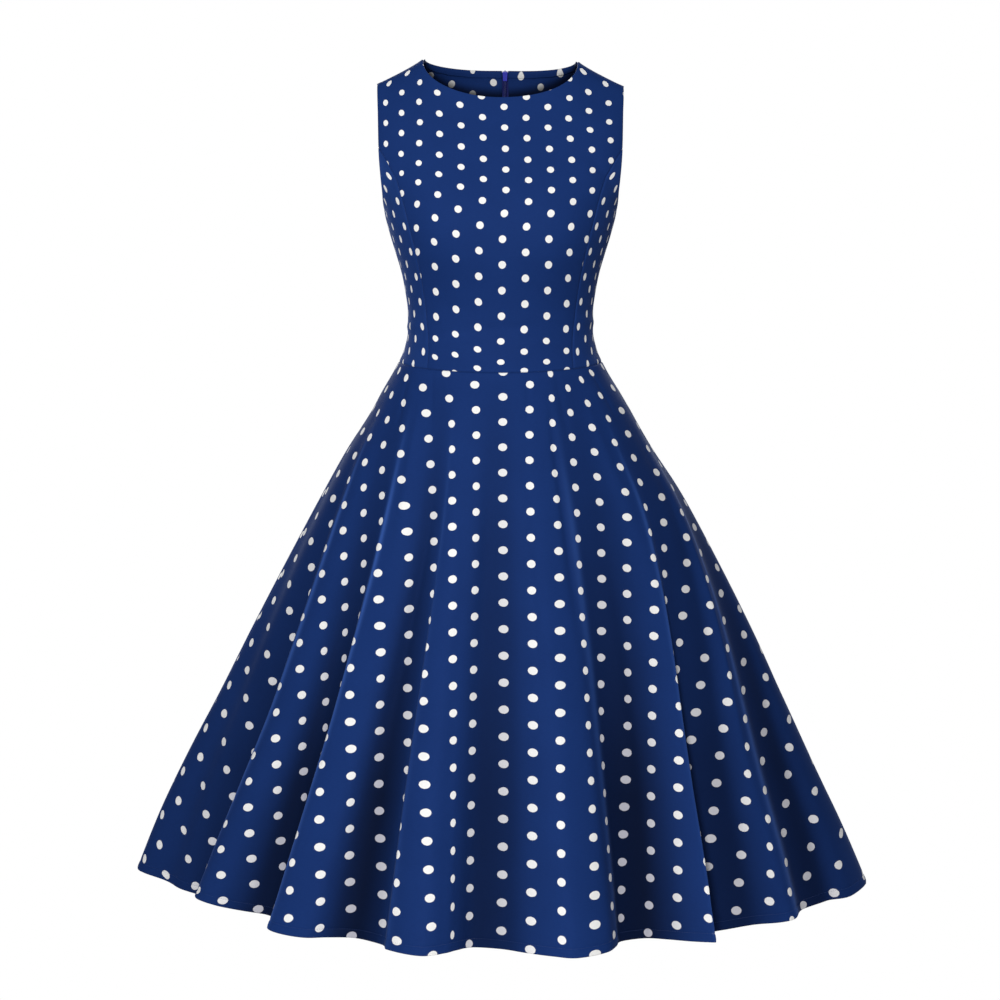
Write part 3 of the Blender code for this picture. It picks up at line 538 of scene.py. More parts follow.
hem_of = even_curve(LINES, 1)
reach_of = even_curve(LINES, 2)
stray_of = even_curve(STRAY, 1)
stray_near_waist = even_curve(STRAY, 2)
drift_of = even_curve(STRAY, 3)
painted_shade_of = reader(PAINTED_SHADE, PAINTED_SHADE_COLUMNS, "line", "dark")
row_at = reader(ROWS, ROW_COLUMNS, "z", "row")
pitch_at = reader(PITCH, PITCH_COLUMNS, "z", "pitch")
centre_at = reader(PITCH, PITCH_COLUMNS, "z", "centre")


def smooth(a, b, x):
    return ease(min(max((x - a) / (b - a), 0.0), 1.0))


# ---------------------------------------------------------------------------------- skirt front's lie
def line_azimuth(line, t):
    start = WAIST_LINE[0] + WAIST_LINE[1] * line + WAIST_LINE[2] * (line / 10) ** 3
    end = hem_of(line)
    high = max(1 - t, 0.0)
    stray = stray_of(line) * 4 * t * high + stray_near_waist(line) * 12.207 * t * high ** 4
    return end + (start - end) * high ** LINE_LEAN + stray


def crease(cloth, at, t):
    high = 0.0
    for row in CREASES:
        if row[0] != cloth or not row[3] < t < row[4]:
            continue
        u = (t - row[3]) / (row[4] - row[3])
        middle = lerp(row[1], row[2], u)
        off = (at - middle) / row[5]
        if abs(off) < 3:
            # a crease that runs on past the hem is full there; the others die away at both ends
            fade = math.sin(math.pi * (u * 0.5 if row[4] > 1 else u)) ** 0.8
            high += row[6] * fade * math.exp(-off * off)
    return high


def front_point(line, t):
    """A point of the skirt front: a line of its cloth and the share of the way down it."""
    azimuth = line_azimuth(line, t)
    side = smooth(68.0, 90.0, abs(azimuth))
    z = lerp(waist_height(azimuth) - GAP / 2, hem_height(azimuth), t)
    a = math.radians(azimuth)
    power = 2 / S["square"](z)
    sin, cos = math.sin(a), math.cos(a)
    wide = S["right" if sin >= 0 else "left"](z)
    deep = S["front" if cos >= 0 else "back"](z)
    own = reach_of(line) * max(0.0, (t - FOLD_START) / (1 - FOLD_START)) ** LINE_GROW
    if side > 0:
        own = lerp(own, fold_reach(math.copysign(min(abs(azimuth), 90.0), azimuth), t), side)
    grow = 1 + own
    high = crease("front", line, t)
    x = math.copysign(wide * abs(sin) ** power, sin)
    y = -math.copysign(deep * abs(cos) ** power, cos)
    out = math.hypot(x, y)
    grow += high / out
    return x * grow, y * grow, z, azimuth


def edge_line(sign, t):
    """The line of the cloth that lies at the side seam at t."""
    low, high = (14.0, 28.7) if sign > 0 else (-28.7, -14.0)
    stop = 90.0 * sign
    for _ in range(40):
        mid = (low + high) / 2
        if line_azimuth(mid, t) < stop:
            low = mid
        else:
            high = mid
    return (low + high) / 2


def front_print(line, t, azimuth):
    """Column and row of the print at a point of the skirt front."""
    at = line + drift_of(line) * max(0.0, 1 - t)
    f = at / 25
    share = t
    for _ in range(3):
        share = t - 4 * share * (1 - share) * (-0.00871 - 0.01026 * f * f - 0.00527 * f) - 0.00350 * f * f * (1 - share)
    radius_hem = 1.14944 - (5.41e-05 if at < 0 else 5.44e-06) * at * at
    radius = FLAT_RADIUS + (radius_hem - FLAT_RADIUS) * share
    a = math.radians(at)
    column = radius * math.sin(a) / COLUMN
    row = (radius * math.cos(a) - 0.463) / STEP - 7.6
    return column, -row


def eased_columns(row, uv_row, azimuths):
    """Past where the skirt turns away at the sides the print keeps its own spacing."""
    half = len(row) // 2
    for steps in (range(half, len(row)), range(half, -1, -1)):
        column = before = None
        for i in steps:
            if column is None:
                column = uv_row[i][0]
            else:
                own = uv_row[i][0] - before[0]
                length = math.hypot(row[i][0] - before[1], row[i][1] - before[2]) / (COLUMN * 1.10)
                even = math.copysign(max(length, abs(own)), own)
                column += lerp(own, even, smooth(81.0, 88.0, abs(azimuths[i])))
            before = (uv_row[i][0], row[i][0], row[i][1])
            uv_row[i] = (column, uv_row[i][1])
    return uv_row


# ---------------------------------------------------------------------------------------- cloth shells
def shares(count, edge=0.0, ends=(True, True)):
    """Even shares from 0 to 1, with close ones at the ends, where the edge (a share) rolls."""
    out = [k / count for k in range(count + 1)]
    close = [0.0, 0.28 * edge, 0.62 * edge, 1.0 * edge, 1.6 * edge]
    if edge and ends[0]:
        out = close + [s for s in out if s > 2.2 * edge]
    if edge and ends[1]:
        out = [s for s in out if s < 1 - 2.2 * edge] + [1 - s for s in reversed(close)]
    return out


def normals_of(grid):
    du = np.gradient(grid, axis=1)
    dv = np.gradient(grid, axis=0)
    n = np.cross(du, dv)
    length = np.linalg.norm(n, axis=2, keepdims=True)
    return n / np.maximum(length, 1e-12)


def run(grid, axis):
    """Length along the grid from its first row or column."""
    d = np.linalg.norm(np.diff(grid, axis=axis), axis=2)
    zero = np.zeros_like(np.take(d, [0], axis=axis))
    return np.concatenate([zero, np.cumsum(d, axis=axis)], axis=axis)


def shell(name, grid, uv, edges, materials, thick=None, node=None, body="dress", round_to=1.34, painted_shade=None, painted_highlight=None):
    """A thin closed shell of cloth.  grid[j][i] are points of the outer face, i anticlockwise round the
    body seen from above and j upwards; uv[j][i] the print's column and row; edges says how the left,
    right, lower and upper edges end: "seam" rolls in, "fold" is a turned edge, "raw" is plain.
    """
    grid = np.asarray(grid, dtype=float)
    uv = np.asarray(uv, dtype=float)
    rows, cols = grid.shape[:2]
    n = normals_of(grid)
    along = run(grid, 1)
    upward = run(grid, 0)
    dist = {"left": along, "right": along[:, -1:] - along, "low": upward, "high": upward[-1:, :] - upward}
    wall = np.full((rows, cols), CLOTH) if thick is None else np.asarray(thick, dtype=float)
    sink = np.zeros((rows, cols))
    for side, kind in edges.items():
        d = dist[side]
        if kind == "seam":
            sink = np.maximum(sink, 0.0011 * np.clip(1 - d / ROLL, 0, 1) ** 2)
        elif kind == "fold":
            sink = np.maximum(sink, 0.0005 * np.clip(1 - d / 0.0012, 0, 1) ** 2)
            wall = np.maximum(wall, 0.0014 * (d < 0.007) + 0.0014 * 0.7 * (d < 0.009))
    outer = grid - n * sink[..., None]
    inner = grid - n * (sink * 0.6 + wall)[..., None]
    # how far the print is stretched sideways, so that dots keep to a real shape where it is much
    du = np.linalg.norm(np.gradient(grid, axis=1), axis=2) / np.maximum(np.abs(np.gradient(uv[..., 0], axis=1)), 1e-6)
    stretch = np.clip(du / COLUMN, 0.6, 6.0)
    wide = DOT_WIDE * np.minimum(1.0, round_to / stretch)
    border = ([(0, i) for i in range(cols)] + [(j, cols - 1) for j in range(1, rows)]
              + [(rows - 1, i) for i in range(cols - 2, -1, -1)] + [(j, 0) for j in range(rows - 2, 0, -1)])
    verts = np.concatenate([outer.reshape(-1, 3), inner.reshape(-1, 3)])
    count = rows * cols
    rim = []
    for j, i in border:
        middle = (outer[j, i] + inner[j, i]) / 2
        j2 = 1 if j == 0 else rows - 2 if j == rows - 1 else j
        i2 = 1 if i == 0 else cols - 2 if i == cols - 1 else i
        away = grid[j, i] - grid[j2, i2]
        away /= max(np.linalg.norm(away), 1e-9)
        rim.append(middle + away * min(0.0004, float(np.linalg.norm(outer[j, i] - inner[j, i])) * 0.4))
    verts = np.concatenate([verts, np.array(rim)])
    idx = np.arange(count).reshape(rows, cols)
    a, b, c, d = idx[:-1, :-1].ravel(), idx[:-1, 1:].ravel(), idx[1:, 1:].ravel(), idx[1:, :-1].ravel()
    out_faces = np.stack([a, b, c, d], axis=1)
    in_faces = np.stack([d + count, c + count, b + count, a + count], axis=1)
    ring = np.array([idx[j, i] for j, i in border])
    ring_next = np.roll(ring, -1)
    mid = 2 * count + np.arange(len(border))
    mid_next = np.roll(mid, -1)
    rim_out = np.stack([ring_next, ring, mid, mid_next], axis=1)
    rim_in = np.stack([mid_next, mid, ring + count, ring_next + count], axis=1)
    faces = np.concatenate([out_faces, in_faces, rim_out, rim_in])
    mesh = bpy.data.meshes.new(name)
    mesh.from_pydata(verts.tolist(), [], faces.tolist())
    mesh.materials.append(materials[0])
    mesh.materials.append(materials[1])
    kinds = np.concatenate([np.zeros(len(out_faces), int), np.ones(len(in_faces), int), np.zeros(len(rim_out), int),
                            np.ones(len(rim_in), int)])
    mesh.polygons.foreach_set("material_index", kinds)
    flat_uv = uv.reshape(-1, 2)
    flat_shape = np.stack([wide, np.full((rows, cols), DOT_TALL)], axis=2).reshape(-1, 2)
    # painted shade (darkening) and painted highlight (lightening) of the cloth's colour, passed to the material in the
    # "depth" UV layer
    dark = np.zeros((rows, cols)) if painted_shade is None else np.clip(np.asarray(painted_shade, dtype=float), 0, 1)
    painted_highlight_grid = np.zeros((rows, cols)) if painted_highlight is None else np.clip(np.asarray(painted_highlight, dtype=float), 0, 1)
    flat_painted_light = np.stack([dark, painted_highlight_grid], axis=2).reshape(-1, 2)
    for layer_name, data in (("cloth", flat_uv), ("shape", flat_shape), ("depth", flat_painted_light)):
        data_rim = data[ring]
        layer = mesh.uv_layers.new(name=layer_name)
        table = np.concatenate([data, data, data_rim])
        loops = np.empty(len(mesh.loops), dtype=np.int32)
        mesh.loops.foreach_get("vertex_index", loops)
        layer.data.foreach_set("uv", table[loops].astype(np.float32).ravel())
    mesh.validate()
    mesh.shade_smooth()
    obj = bpy.data.objects.new(name, mesh)
    bpy.context.scene.collection.objects.link(obj)
    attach(obj, body)
    if node:
        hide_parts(node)
    return obj


# ------------------------------------------------------------------------------------------ materials
class Graph:
    """Short names for building a material's nodes."""

    def __init__(self, name):
        self.material = bpy.data.materials.new(name)
        self.material.use_nodes = True
        self.nodes, self.links = self.material.node_tree.nodes, self.material.node_tree.links
        self.shader = self.nodes["Principled BSDF"]

    def put(self, socket, value):
        if hasattr(value, "is_linked") or hasattr(value, "links"):
            self.links.new(value, socket)
        else:
            socket.default_value = value

    def math(self, operation, a, b=0.0, c=0.0, clamp=False):
        node = self.nodes.new("ShaderNodeMath")
        node.operation = operation
        node.use_clamp = clamp
        for socket, value in zip(node.inputs, (a, b, c)):
            self.put(socket, value)
        return node.outputs[0]

    def uv(self, name):
        node = self.nodes.new("ShaderNodeUVMap")
        node.uv_map = name
        split = self.nodes.new("ShaderNodeSeparateXYZ")
        self.links.new(node.outputs[0], split.inputs[0])
        return split.outputs[0], split.outputs[1]

    def join(self, x, y, z=0.0):
        node = self.nodes.new("ShaderNodeCombineXYZ")
        for socket, value in zip(node.inputs, (x, y, z)):
            self.put(socket, value)
        return node.outputs[0]

    def noise(self, vector, scale, detail=2.0, rough=0.5):
        node = self.nodes.new("ShaderNodeTexNoise")
        self.put(node.inputs["Vector"], vector)
        node.inputs["Scale"].default_value = scale
        node.inputs["Detail"].default_value = detail
        node.inputs["Roughness"].default_value = rough
        return node.outputs["Fac"]

    def ramp(self, value, low, high, to_low=0.0, to_high=1.0, smooth_step=False):
        node = self.nodes.new("ShaderNodeMapRange")
        node.interpolation_type = "SMOOTHSTEP" if smooth_step else "LINEAR"
        for name, v in (("Value", value), ("From Min", low), ("From Max", high), ("To Min", to_low), ("To Max", to_high)):
            self.put(node.inputs[name], v)
        return node.outputs["Result"]

    def mix(self, factor, a, b):
        node = self.nodes.new("ShaderNodeMix")
        node.data_type = "RGBA"
        self.put(node.inputs["Factor"], factor)
        for socket, value in ((node.inputs["A"], a), (node.inputs["B"], b)):
            pass
        colours = [s for s in node.inputs if s.type == "RGBA"]
        for socket, value in zip(colours, (a, b)):
            self.put(socket, (*value, 1) if isinstance(value, tuple) else value)
        return [s for s in node.outputs if s.type == "RGBA"][0]

    def bump(self, height, distance, strength=1.0):
        node = self.nodes.new("ShaderNodeBump")
        node.inputs["Strength"].default_value = strength
        node.inputs["Distance"].default_value = distance
        self.links.new(height, node.inputs["Height"])
        self.links.new(node.outputs[0], self.shader.inputs["Normal"])


def dotted(name, navy, dark, dot, show, sheen, neck_painted_shade=False):
    """Plain-woven navy cloth printed with a half-drop of white dots; show is how strongly they come through."""
    g = Graph(name)
    u, v = g.uv("cloth")
    wide, tall = g.uv("shape")
    # the "depth" UV layer holds the painted shade (x) and painted highlight (y) of the folds
    deep, painted_highlight_amount = g.uv("depth")
    flat = g.join(g.math("MULTIPLY", u, COLUMN), g.math("MULTIPLY", v, STEP))
    wobble = g.math("MULTIPLY", g.math("SUBTRACT", g.noise(flat, 620.0, 2.0), 0.5), 0.10)

    def from_centre(shift):
        a = g.math("ABSOLUTE", g.math("SUBTRACT", g.math("FLOORED_MODULO", g.math("ADD", u, shift), 2.0), 1.0))
        b = g.math("ABSOLUTE", g.math("SUBTRACT", g.math("FLOORED_MODULO", g.math("ADD", v, shift), 2.0), 1.0))
        a = g.math("DIVIDE", a, wide)
        b = g.math("DIVIDE", b, tall)
        return g.math("SQRT", g.math("ADD", g.math("MULTIPLY", a, a), g.math("MULTIPLY", b, b)))

    nearest = g.math("ADD", g.math("MINIMUM", from_centre(1.0), from_centre(0.0)), wobble)
    dots = g.ramp(nearest, 0.95, 1.05, 1.0, 0.0, smooth_step=True)
    # the weave: threads over and under at 0.55 mm
    across = g.math("SINE", g.math("MULTIPLY", u, COLUMN * 2 * math.pi / 0.00110))
    down = g.math("SINE", g.math("MULTIPLY", v, STEP * 2 * math.pi / 0.00110))
    weave = g.math("MULTIPLY", across, down)
    slub = g.noise(g.join(g.math("MULTIPLY", u, COLUMN * 0.25), g.math("MULTIPLY", v, STEP)), 900.0, 3.0, 0.6)
    cloudy = g.noise(flat, 14.0, 3.0, 0.55)
    shade = g.math("ADD", g.math("MULTIPLY", slub, 0.55), g.math("MULTIPLY", cloudy, 0.45))
    base = g.mix(g.ramp(shade, 0.30, 0.70), dark, navy)
    thread = g.ramp(weave, -1.0, 1.0, 0.0, 1.0)
    base = g.mix(g.math("MULTIPLY", thread, 0.22), base, tuple(min(1.0, c * 1.7) for c in navy))
    ink = g.mix(g.ramp(shade, 0.25, 0.75), tuple(c * 0.93 for c in dot), dot)
    # painted shade: in the folds the cloth's and the dots' colour is darkened, as little light comes down into them
    base = g.mix(g.math("MULTIPLY", deep, 0.84), base, (0.0004, 0.0010, 0.0035))
    ink = g.mix(g.math("MULTIPLY", deep, 0.58), ink, (0.050, 0.050, 0.150))
    # painted highlight: the folds' edges are lightened in colour, as they catch more light
    base = g.mix(painted_highlight_amount, base, tuple(c * k for c, k in zip(navy, (3.6, 2.7, 2.2))))
    colour = g.mix(g.math("MULTIPLY", dots, show), base, ink)
    if neck_painted_shade:
        # painted shade for the depth of the neck: the facing's colour darkens towards the arc where the front's edge
        # hides the facing
        split = g.nodes.new("ShaderNodeSeparateXYZ")
        g.links.new(g.nodes.new("ShaderNodeTexCoord").outputs["Object"], split.inputs[0])
        aside = g.math("DIVIDE", split.outputs[0], 0.103)
        rest = g.math("MAXIMUM", g.math("SUBTRACT", 1.0, g.math("MULTIPLY", aside, aside)), 0.0)
        arc = g.math("SUBTRACT", 0.020, g.math("MULTIPLY", g.math("SQRT", rest), 0.0475))
        lit = g.ramp(g.math("SUBTRACT", split.outputs[2], arc), 0.000, 0.015, 0.10, 0.72, smooth_step=True)
        colour = g.mix(lit, (0.0, 0.0, 0.0), colour)
    g.links.new(colour, g.shader.inputs["Base Color"])
    g.links.new(g.ramp(shade, 0.2, 0.8, 0.68, 0.80), g.shader.inputs["Roughness"])
    g.shader.inputs["Specular IOR Level"].default_value = 0.04
    g.shader.inputs["Sheen Weight"].default_value = sheen
    g.shader.inputs["Sheen Roughness"].default_value = 0.28
    g.shader.inputs["Sheen Tint"].default_value = (0.42, 0.56, 1.0, 1.0)
    height = g.math("ADD", g.math("MULTIPLY", weave, 0.5), g.math("MULTIPLY", slub, 0.5))
    g.bump(height, 0.00012, 0.55)
    return g.material


def woven(name, colour, pale, period):
    """Zip tape: a fine herringbone of one colour."""
    g = Graph(name)
    u, v = g.uv("cloth")
    chevron = g.math("ABSOLUTE", g.math("SUBTRACT", g.math("FLOORED_MODULO", g.math("MULTIPLY", u, 700.0), 2.0), 1.0))
    wave = g.math("SINE", g.math("MULTIPLY", g.math("ADD", v, g.math("MULTIPLY", chevron, period)), 2 * math.pi / period))
    slub = g.noise(g.join(u, v), 1500.0, 2.0)
    g.links.new(g.mix(g.ramp(g.math("ADD", wave, slub), -1.0, 2.0), colour, pale), g.shader.inputs["Base Color"])
    g.links.new(g.ramp(slub, 0.2, 0.8, 0.60, 0.75), g.shader.inputs["Roughness"])
    g.shader.inputs["Sheen Weight"].default_value = 0.05
    g.shader.inputs["Sheen Tint"].default_value = (0.42, 0.50, 1.0, 1.0)
    g.shader.inputs["Specular IOR Level"].default_value = 0.10
    g.bump(wave, 0.00010, 0.6)
    return g.material


def enamel(name, colour, worn, scale):
    """Enamelled metal or nylon, faintly mottled."""
    g = Graph(name)
    where = g.nodes.new("ShaderNodeTexCoord").outputs["Object"]
    mottle = g.noise(where, scale, 3.0, 0.6)
    fine = g.noise(where, scale * 6, 2.0)
    g.links.new(g.mix(g.ramp(mottle, 0.35, 0.75), colour, worn), g.shader.inputs["Base Color"])
    g.links.new(g.ramp(fine, 0.2, 0.8, 0.26, 0.44), g.shader.inputs["Roughness"])
    g.shader.inputs["Specular IOR Level"].default_value = 0.5
    g.bump(fine, 0.00003, 0.5)
    return g.material


NAVY_LIT, NAVY_DARK = (0.0078, 0.0290, 0.1330), (0.0058, 0.0225, 0.1060)
DOT_WHITE = (0.840, 0.835, 0.820)
face = dotted("printed_cloth_face", NAVY_LIT, NAVY_DARK, DOT_WHITE, 1.0, 0.10)
back_face = dotted("printed_cloth_reverse", (0.0210, 0.0420, 0.1350), (0.0160, 0.0340, 0.1120), (0.30, 0.34, 0.46), 0.62, 0.06)
neck_face = dotted("printed_cloth_facing", NAVY_LIT, NAVY_DARK, DOT_WHITE, 1.0, 0.05, neck_painted_shade=True)
tape_material = woven("zip_tape_weave", (0.006, 0.009, 0.070), (0.012, 0.016, 0.110), 0.0011)
coil_material = enamel("zip_coil_nylon", (0.009, 0.013, 0.110), (0.016, 0.021, 0.160), 900.0)
metal_material = enamel("zip_metal_enamel", (0.022, 0.026, 0.300), (0.042, 0.046, 0.390), 700.0)
thread_material = enamel("hem_thread", (0.010, 0.026, 0.110), (0.018, 0.042, 0.170), 1200.0)


# --------------------------------------------------------------------------------------------- panels
def degrees_for(length, radius):
    return math.degrees(length / radius)


FRONT_JOINT = PRINCESS[0][0]
FRONT_SHARE = 0.62
BACK_SHARE = 0.55
WAIST_AT_PRINCESS = waist_height(angle_of(princess_x(WAIST_SIDE), WAIST_SIDE)) + GAP / 2
UNDERARM_SHARE = (UNDERARM - WAIST_AT_PRINCESS) / (FRONT_JOINT - WAIST_AT_PRINCESS)


def drag(side, p):
    """Soft lines in the bodice, pushed in or out."""
    high = 0.0
    for row in DRAGS:
        if row[0] != side:
            continue
        a = math.radians(row[3])
        dx, dz = p[0] - row[1], p[2] - row[2]
        s = (dx * math.cos(a) + dz * math.sin(a)) / row[4]
        w = (-dx * math.sin(a) + dz * math.cos(a)) / row[5]
        if abs(s) < 2 and abs(w) < 3:
            high += row[6] * math.exp(-w * w) * math.exp(-(s * s) ** 1.5)
    return high


def pushed(side, grid):
    grid = np.asarray(grid, dtype=float)
    n = normals_of(grid)
    high = np.array([[drag(side, p) for p in row] for row in grid])
    return grid + n * high[..., None]


def front_edge(z):
    return angle_of(princess_x(z), z) - degrees_for(GAP / 2, 0.14)


def back_edge(z):
    return armhole_angle(z) - degrees_for(GAP / 2, 0.11)


def arc_off(side, z, angle, steps_count=24):
    """Length round the section at z from its centre line to an angle."""
    total, last = 0.0, None
    for k in range(steps_count + 1):
        p = bodice_point(side, abs(angle) * k / steps_count, z)
        if last is not None:
            total += math.hypot(p.x - last.x, p.y - last.y)
        last = p
    return math.copysign(total, angle)


# Bodice front
columns_half = shares(58, 0.010, (False, True))
columns = [-s for s in reversed(columns_half[1:])] + columns_half
levels = shares(128, 0.0068)
grid, uv = [], []
for v in levels:
    row = []
    for u in columns:
        p = bodice_panel("front", -1 if u < 0 else 1, abs(u), v, FRONT_JOINT, FRONT_SHARE, front_edge, lambda z: 0.0)
        row.append((p.x, p.y, p.z))
    line = np.array(row)
    middle = columns.index(0.0)
    step_len = np.linalg.norm(np.diff(line[:, :2], axis=0), axis=1)
    off = np.concatenate([[0.0], np.cumsum(step_len)])
    off -= off[middle]
    uv_row = []
    for p, s in zip(line, off):
        z = p[2]
        column = (s - centre_at(z)) / pitch_at(z)
        # the rows climb to the left, and the outer columns there stand closer under the armhole
        climb = lerp(0.0065, 0.0165, smooth(-0.065, -0.295, z)) * (min(abs(p[0]), 0.09) / 0.085) ** 1.6 if p[0] < 0 else 0.0
        if column < -3:
            column -= 0.045 * (column + 3) ** 2 * smooth(-0.20, -0.12, z)
        # towards the shoulders the columns spread, and on the right the rows droop
        column *= 1 - 0.085 * smooth(-0.07, 0.0, z)
        if p[0] > 0:
            climb = -0.0065 * smooth(-0.115, -0.03, z) * smooth(0.075, 0.125, p[0])
        uv_row.append((column, row_at(z - climb)))
    grid.append(row)
    uv.append(uv_row)
bodice_front = shell("bodice_front_cloth", pushed("front", grid), uv,
                     {"left": "seam", "right": "seam", "low": "seam", "high": "fold"}, (face, back_face),
                     node="bodice_front")

# Side fronts
for name, sign in (("left", -1), ("right", 1)):
    grid, uv = [], []
    for v in shares(104, 0.0095):
        row, uv_row = [], []
        for u in shares(34, 0.030):
            s = u if sign > 0 else 1 - u
            if v <= UNDERARM_SHARE:
                angle = lerp(angle_of(princess_x(WAIST_SIDE), WAIST_SIDE), 90.0, s)
                z = lerp(waist_height(angle) + GAP / 2, UNDERARM, v / UNDERARM_SHARE)
            else:
                z = lerp(UNDERARM, FRONT_JOINT, (v - UNDERARM_SHARE) / (1 - UNDERARM_SHARE))
            inner = angle_of(princess_x(z), z) + degrees_for(GAP / 2, 0.14)
            outer = armhole_angle(z) + degrees_for(LAP, 0.11)
            p = bodice_point("front", lerp(inner, outer, s), z)
            p = leaned(Vector((p.x * sign, p.y, p.z)))
            row.append((p.x, p.y, p.z))
        line = np.array(row)
        off = np.concatenate([[0.0], np.cumsum(np.linalg.norm(np.diff(line, axis=0), axis=1))])
        if sign < 0:
            off = off[-1] - off
        for p, d in zip(line, off):
            # eased round the bust: the columns close up towards the side seam
            close = 1.35 + 7.0 * d
            uv_row.append(((d * close - 0.012) / COLUMN, (p[2] + 0.2903) / STEP * 1.02))
        grid.append(row)
        uv.append(uv_row)
    inner_side, outer_side = ("right", "left") if sign < 0 else ("left", "right")
    # painted highlight: each side front's colour lightens towards its side seam, more on the left, standing in for
    # light from the sides
    side_painted_highlight = np.linspace(0.15, 1.0, len(grid[0])) * (0.42 if sign < 0 else 0.24)
    shell("bodice_side_front_cloth_" + name, pushed("front", grid), uv,
                              {inner_side: "seam", outer_side: "seam", "low": "seam"}, (face, back_face),
                              node="bodice_side_front_" + name,
                              painted_highlight=np.tile(side_painted_highlight if sign > 0 else side_painted_highlight[::-1], (len(grid), 1)))

# Bodice backs
for name, sign in (("left", -1), ("right", 1)):
    grid, uv = [], []
    for v in shares(112, 0.0070):
        row, uv_row = [], []
        for u in shares(64, 0.014):
            s = 1 - u if sign > 0 else u
            p = bodice_panel("back", sign, s, v, UNDERARM, BACK_SHARE, back_edge, lambda z: sign * zip_x(z) + GAP / 2)
            row.append((p.x, p.y, p.z))
        line = np.array(row)
        off = np.concatenate([[0.0], np.cumsum(np.linalg.norm(np.diff(line[:, :2], axis=0), axis=1))])
        if sign > 0:
            off = off[-1] - off
        for p, d in zip(line, off):
            uv_row.append(((d + (0.011 if sign > 0 else 0.004)) / COLUMN, (p[2] + 0.29 + 0.02 * (abs(p[0]) / 0.15) ** 2) / STEP))
        grid.append(row)
        uv.append(uv_row)
    inner_side, outer_side = ("right", "left") if sign > 0 else ("left", "right")
    shell("bodice_back_cloth_" + name, pushed("back", grid), uv,
                              {inner_side: "seam", outer_side: "seam", "low": "seam", "high": "fold"}, (face, back_face),
                              node="bodice_back_" + name)

# Skirt front: levels run upwards, from the hem to the waist
hem_shares = [d / 0.70 for d in (0.0, 0.0008, 0.0020, 0.0045, 0.0085, HEM_TURN - 0.0006, HEM_TURN, HEM_TURN + 0.0008, 0.0140)]
waist_shares = [d / 0.70 for d in (0.0, 0.0007, 0.0016, 0.0026, 0.0042)]
levels = (hem_shares + [k / 128 for k in range(1, 128) if hem_shares[-1] + 0.003 < k / 128 < 1 - waist_shares[-1] - 0.003]
          + [1 - s for s in reversed(waist_shares)])


def hem_wall(levels, columns_count):
    """Wall of a skirt panel: double cloth in the hem's turning."""
    walls = []
    for v in levels:
        d = v * 0.70
        w = TURNED if d < HEM_TURN + 0.0002 else CLOTH
        walls.append([w] * columns_count)
    return walls


def hem_groove(grid, levels):
    grid = np.asarray(grid, dtype=float)
    n = normals_of(grid)
    for j, v in enumerate(levels):
        d = v * 0.70
        depth = 0.00055 * math.exp(-((d - HEM_TURN) / 0.0009) ** 2) + 0.0006 * max(0.0, 1 - d / 0.0012) ** 2
        # the turned edge is a little fuller than the cloth above it
        depth -= 0.0004 * math.exp(-((d - 0.0055) / 0.0030) ** 2)
        grid[j] -= n[j] * depth
    return grid


columns = shares(276, 0.0024)
grid, uv, front_painted_shade, front_rim = [], [], [], []
for v in levels:
    t = 1 - v
    left = edge_line(-1, t)
    right = edge_line(1, t)
    margin = -degrees_for(LAP, lerp(0.12, 0.38, t)) / 3.0        # the side seams are sewn shut
    row, uv_row, azimuths, painted_shade_row, rim_row = [], [], [], [], []
    for u in columns:
        line = lerp(left + margin, right - margin, u)
        x, y, z, azimuth = front_point(line, t)
        row.append((x, y, z))
        uv_row.append(front_print(line, t, azimuth))
        azimuths.append(azimuth)
        # painted shade in the fold valleys and painted highlight along the fold edges, both growing down the skirt
        painted_shade_row.append(painted_shade_of(line) * min(1.0, t / 0.75) ** 0.8)
        rim_row.append(sum(much * math.exp(-((line - at) / wide) ** 2) for at, much, wide in RIMS) * smooth(0.06, 0.30, t))
    grid.append(row)
    uv.append(eased_columns(row, uv_row, azimuths))
    front_painted_shade.append(painted_shade_row)
    front_rim.append(rim_row)
skirt_front = shell("skirt_front_cloth", hem_groove(grid, levels), uv,
                    {"left": "seam", "right": "seam", "high": "seam"}, (face, back_face),
                    thick=hem_wall(levels, len(columns)), node="skirt_front", round_to=1.8, painted_shade=front_painted_shade,
                    painted_highlight=front_rim)

# Skirt backs
skirt_backs = {}
back_levels = (hem_shares + [k / 112 for k in range(1, 112) if hem_shares[-1] + 0.003 < k / 112 < 1 - waist_shares[-1] - 0.003]
               + [1 - s for s in reversed(waist_shares)])
for name, start, stop in (("right", 90.0, 180.0), ("left", 180.0, 270.0)):
    grid, uv, painted_shade = [], [], []
    columns = shares(176, 0.0045)
    for v in back_levels:
        t = 1 - v
        radius = lerp(0.12, 0.38, t)
        a0, a1 = start + degrees_for(GAP / 2, radius), stop - degrees_for(GAP / 2, radius)
        row, uv_row = [], []
        # painted shade: the cloth's colour darkens in the troughs of the back's folds
        painted_shade.append([max(0.0, min(1.0, -fold_reach(lerp(a0, a1, u), t) / 0.11)) * 0.8 for u in columns])
        for u in columns:
            azimuth = lerp(a0, a1, u)
            p = skirt_point(azimuth, t)
            high = crease("back", azimuth, t)
            out = math.hypot(p.x, p.y)
            row.append((p.x * (1 + high / out), p.y * (1 + high / out), p.z))
        line = np.array(row)
        off = np.concatenate([[0.0], np.cumsum(np.linalg.norm(np.diff(line[:, :2], axis=0), axis=1))])
        if name == "right":
            off = off[-1] - off
        flat_r = FLAT_RADIUS + FLAT_LENGTH * t
        for d in off:
            a = d / flat_r / lerp(1.0, 1.28, t ** 0.8)
            shift = 0.35 if name == "right" else 0.1
            uv_row.append((flat_r * math.sin(a) / COLUMN + shift, -(flat_r * math.cos(a) - 0.463) / STEP + 0.2))
        grid.append(row)
        uv.append(uv_row)
    skirt_backs[name] = shell("skirt_back_cloth_" + name, hem_groove(grid, back_levels), uv,
                              {"left": "seam", "right": "seam", "high": "seam"}, (face, back_face),
                              thick=hem_wall(back_levels, len(columns)), node="skirt_back_" + name, painted_shade=painted_shade)


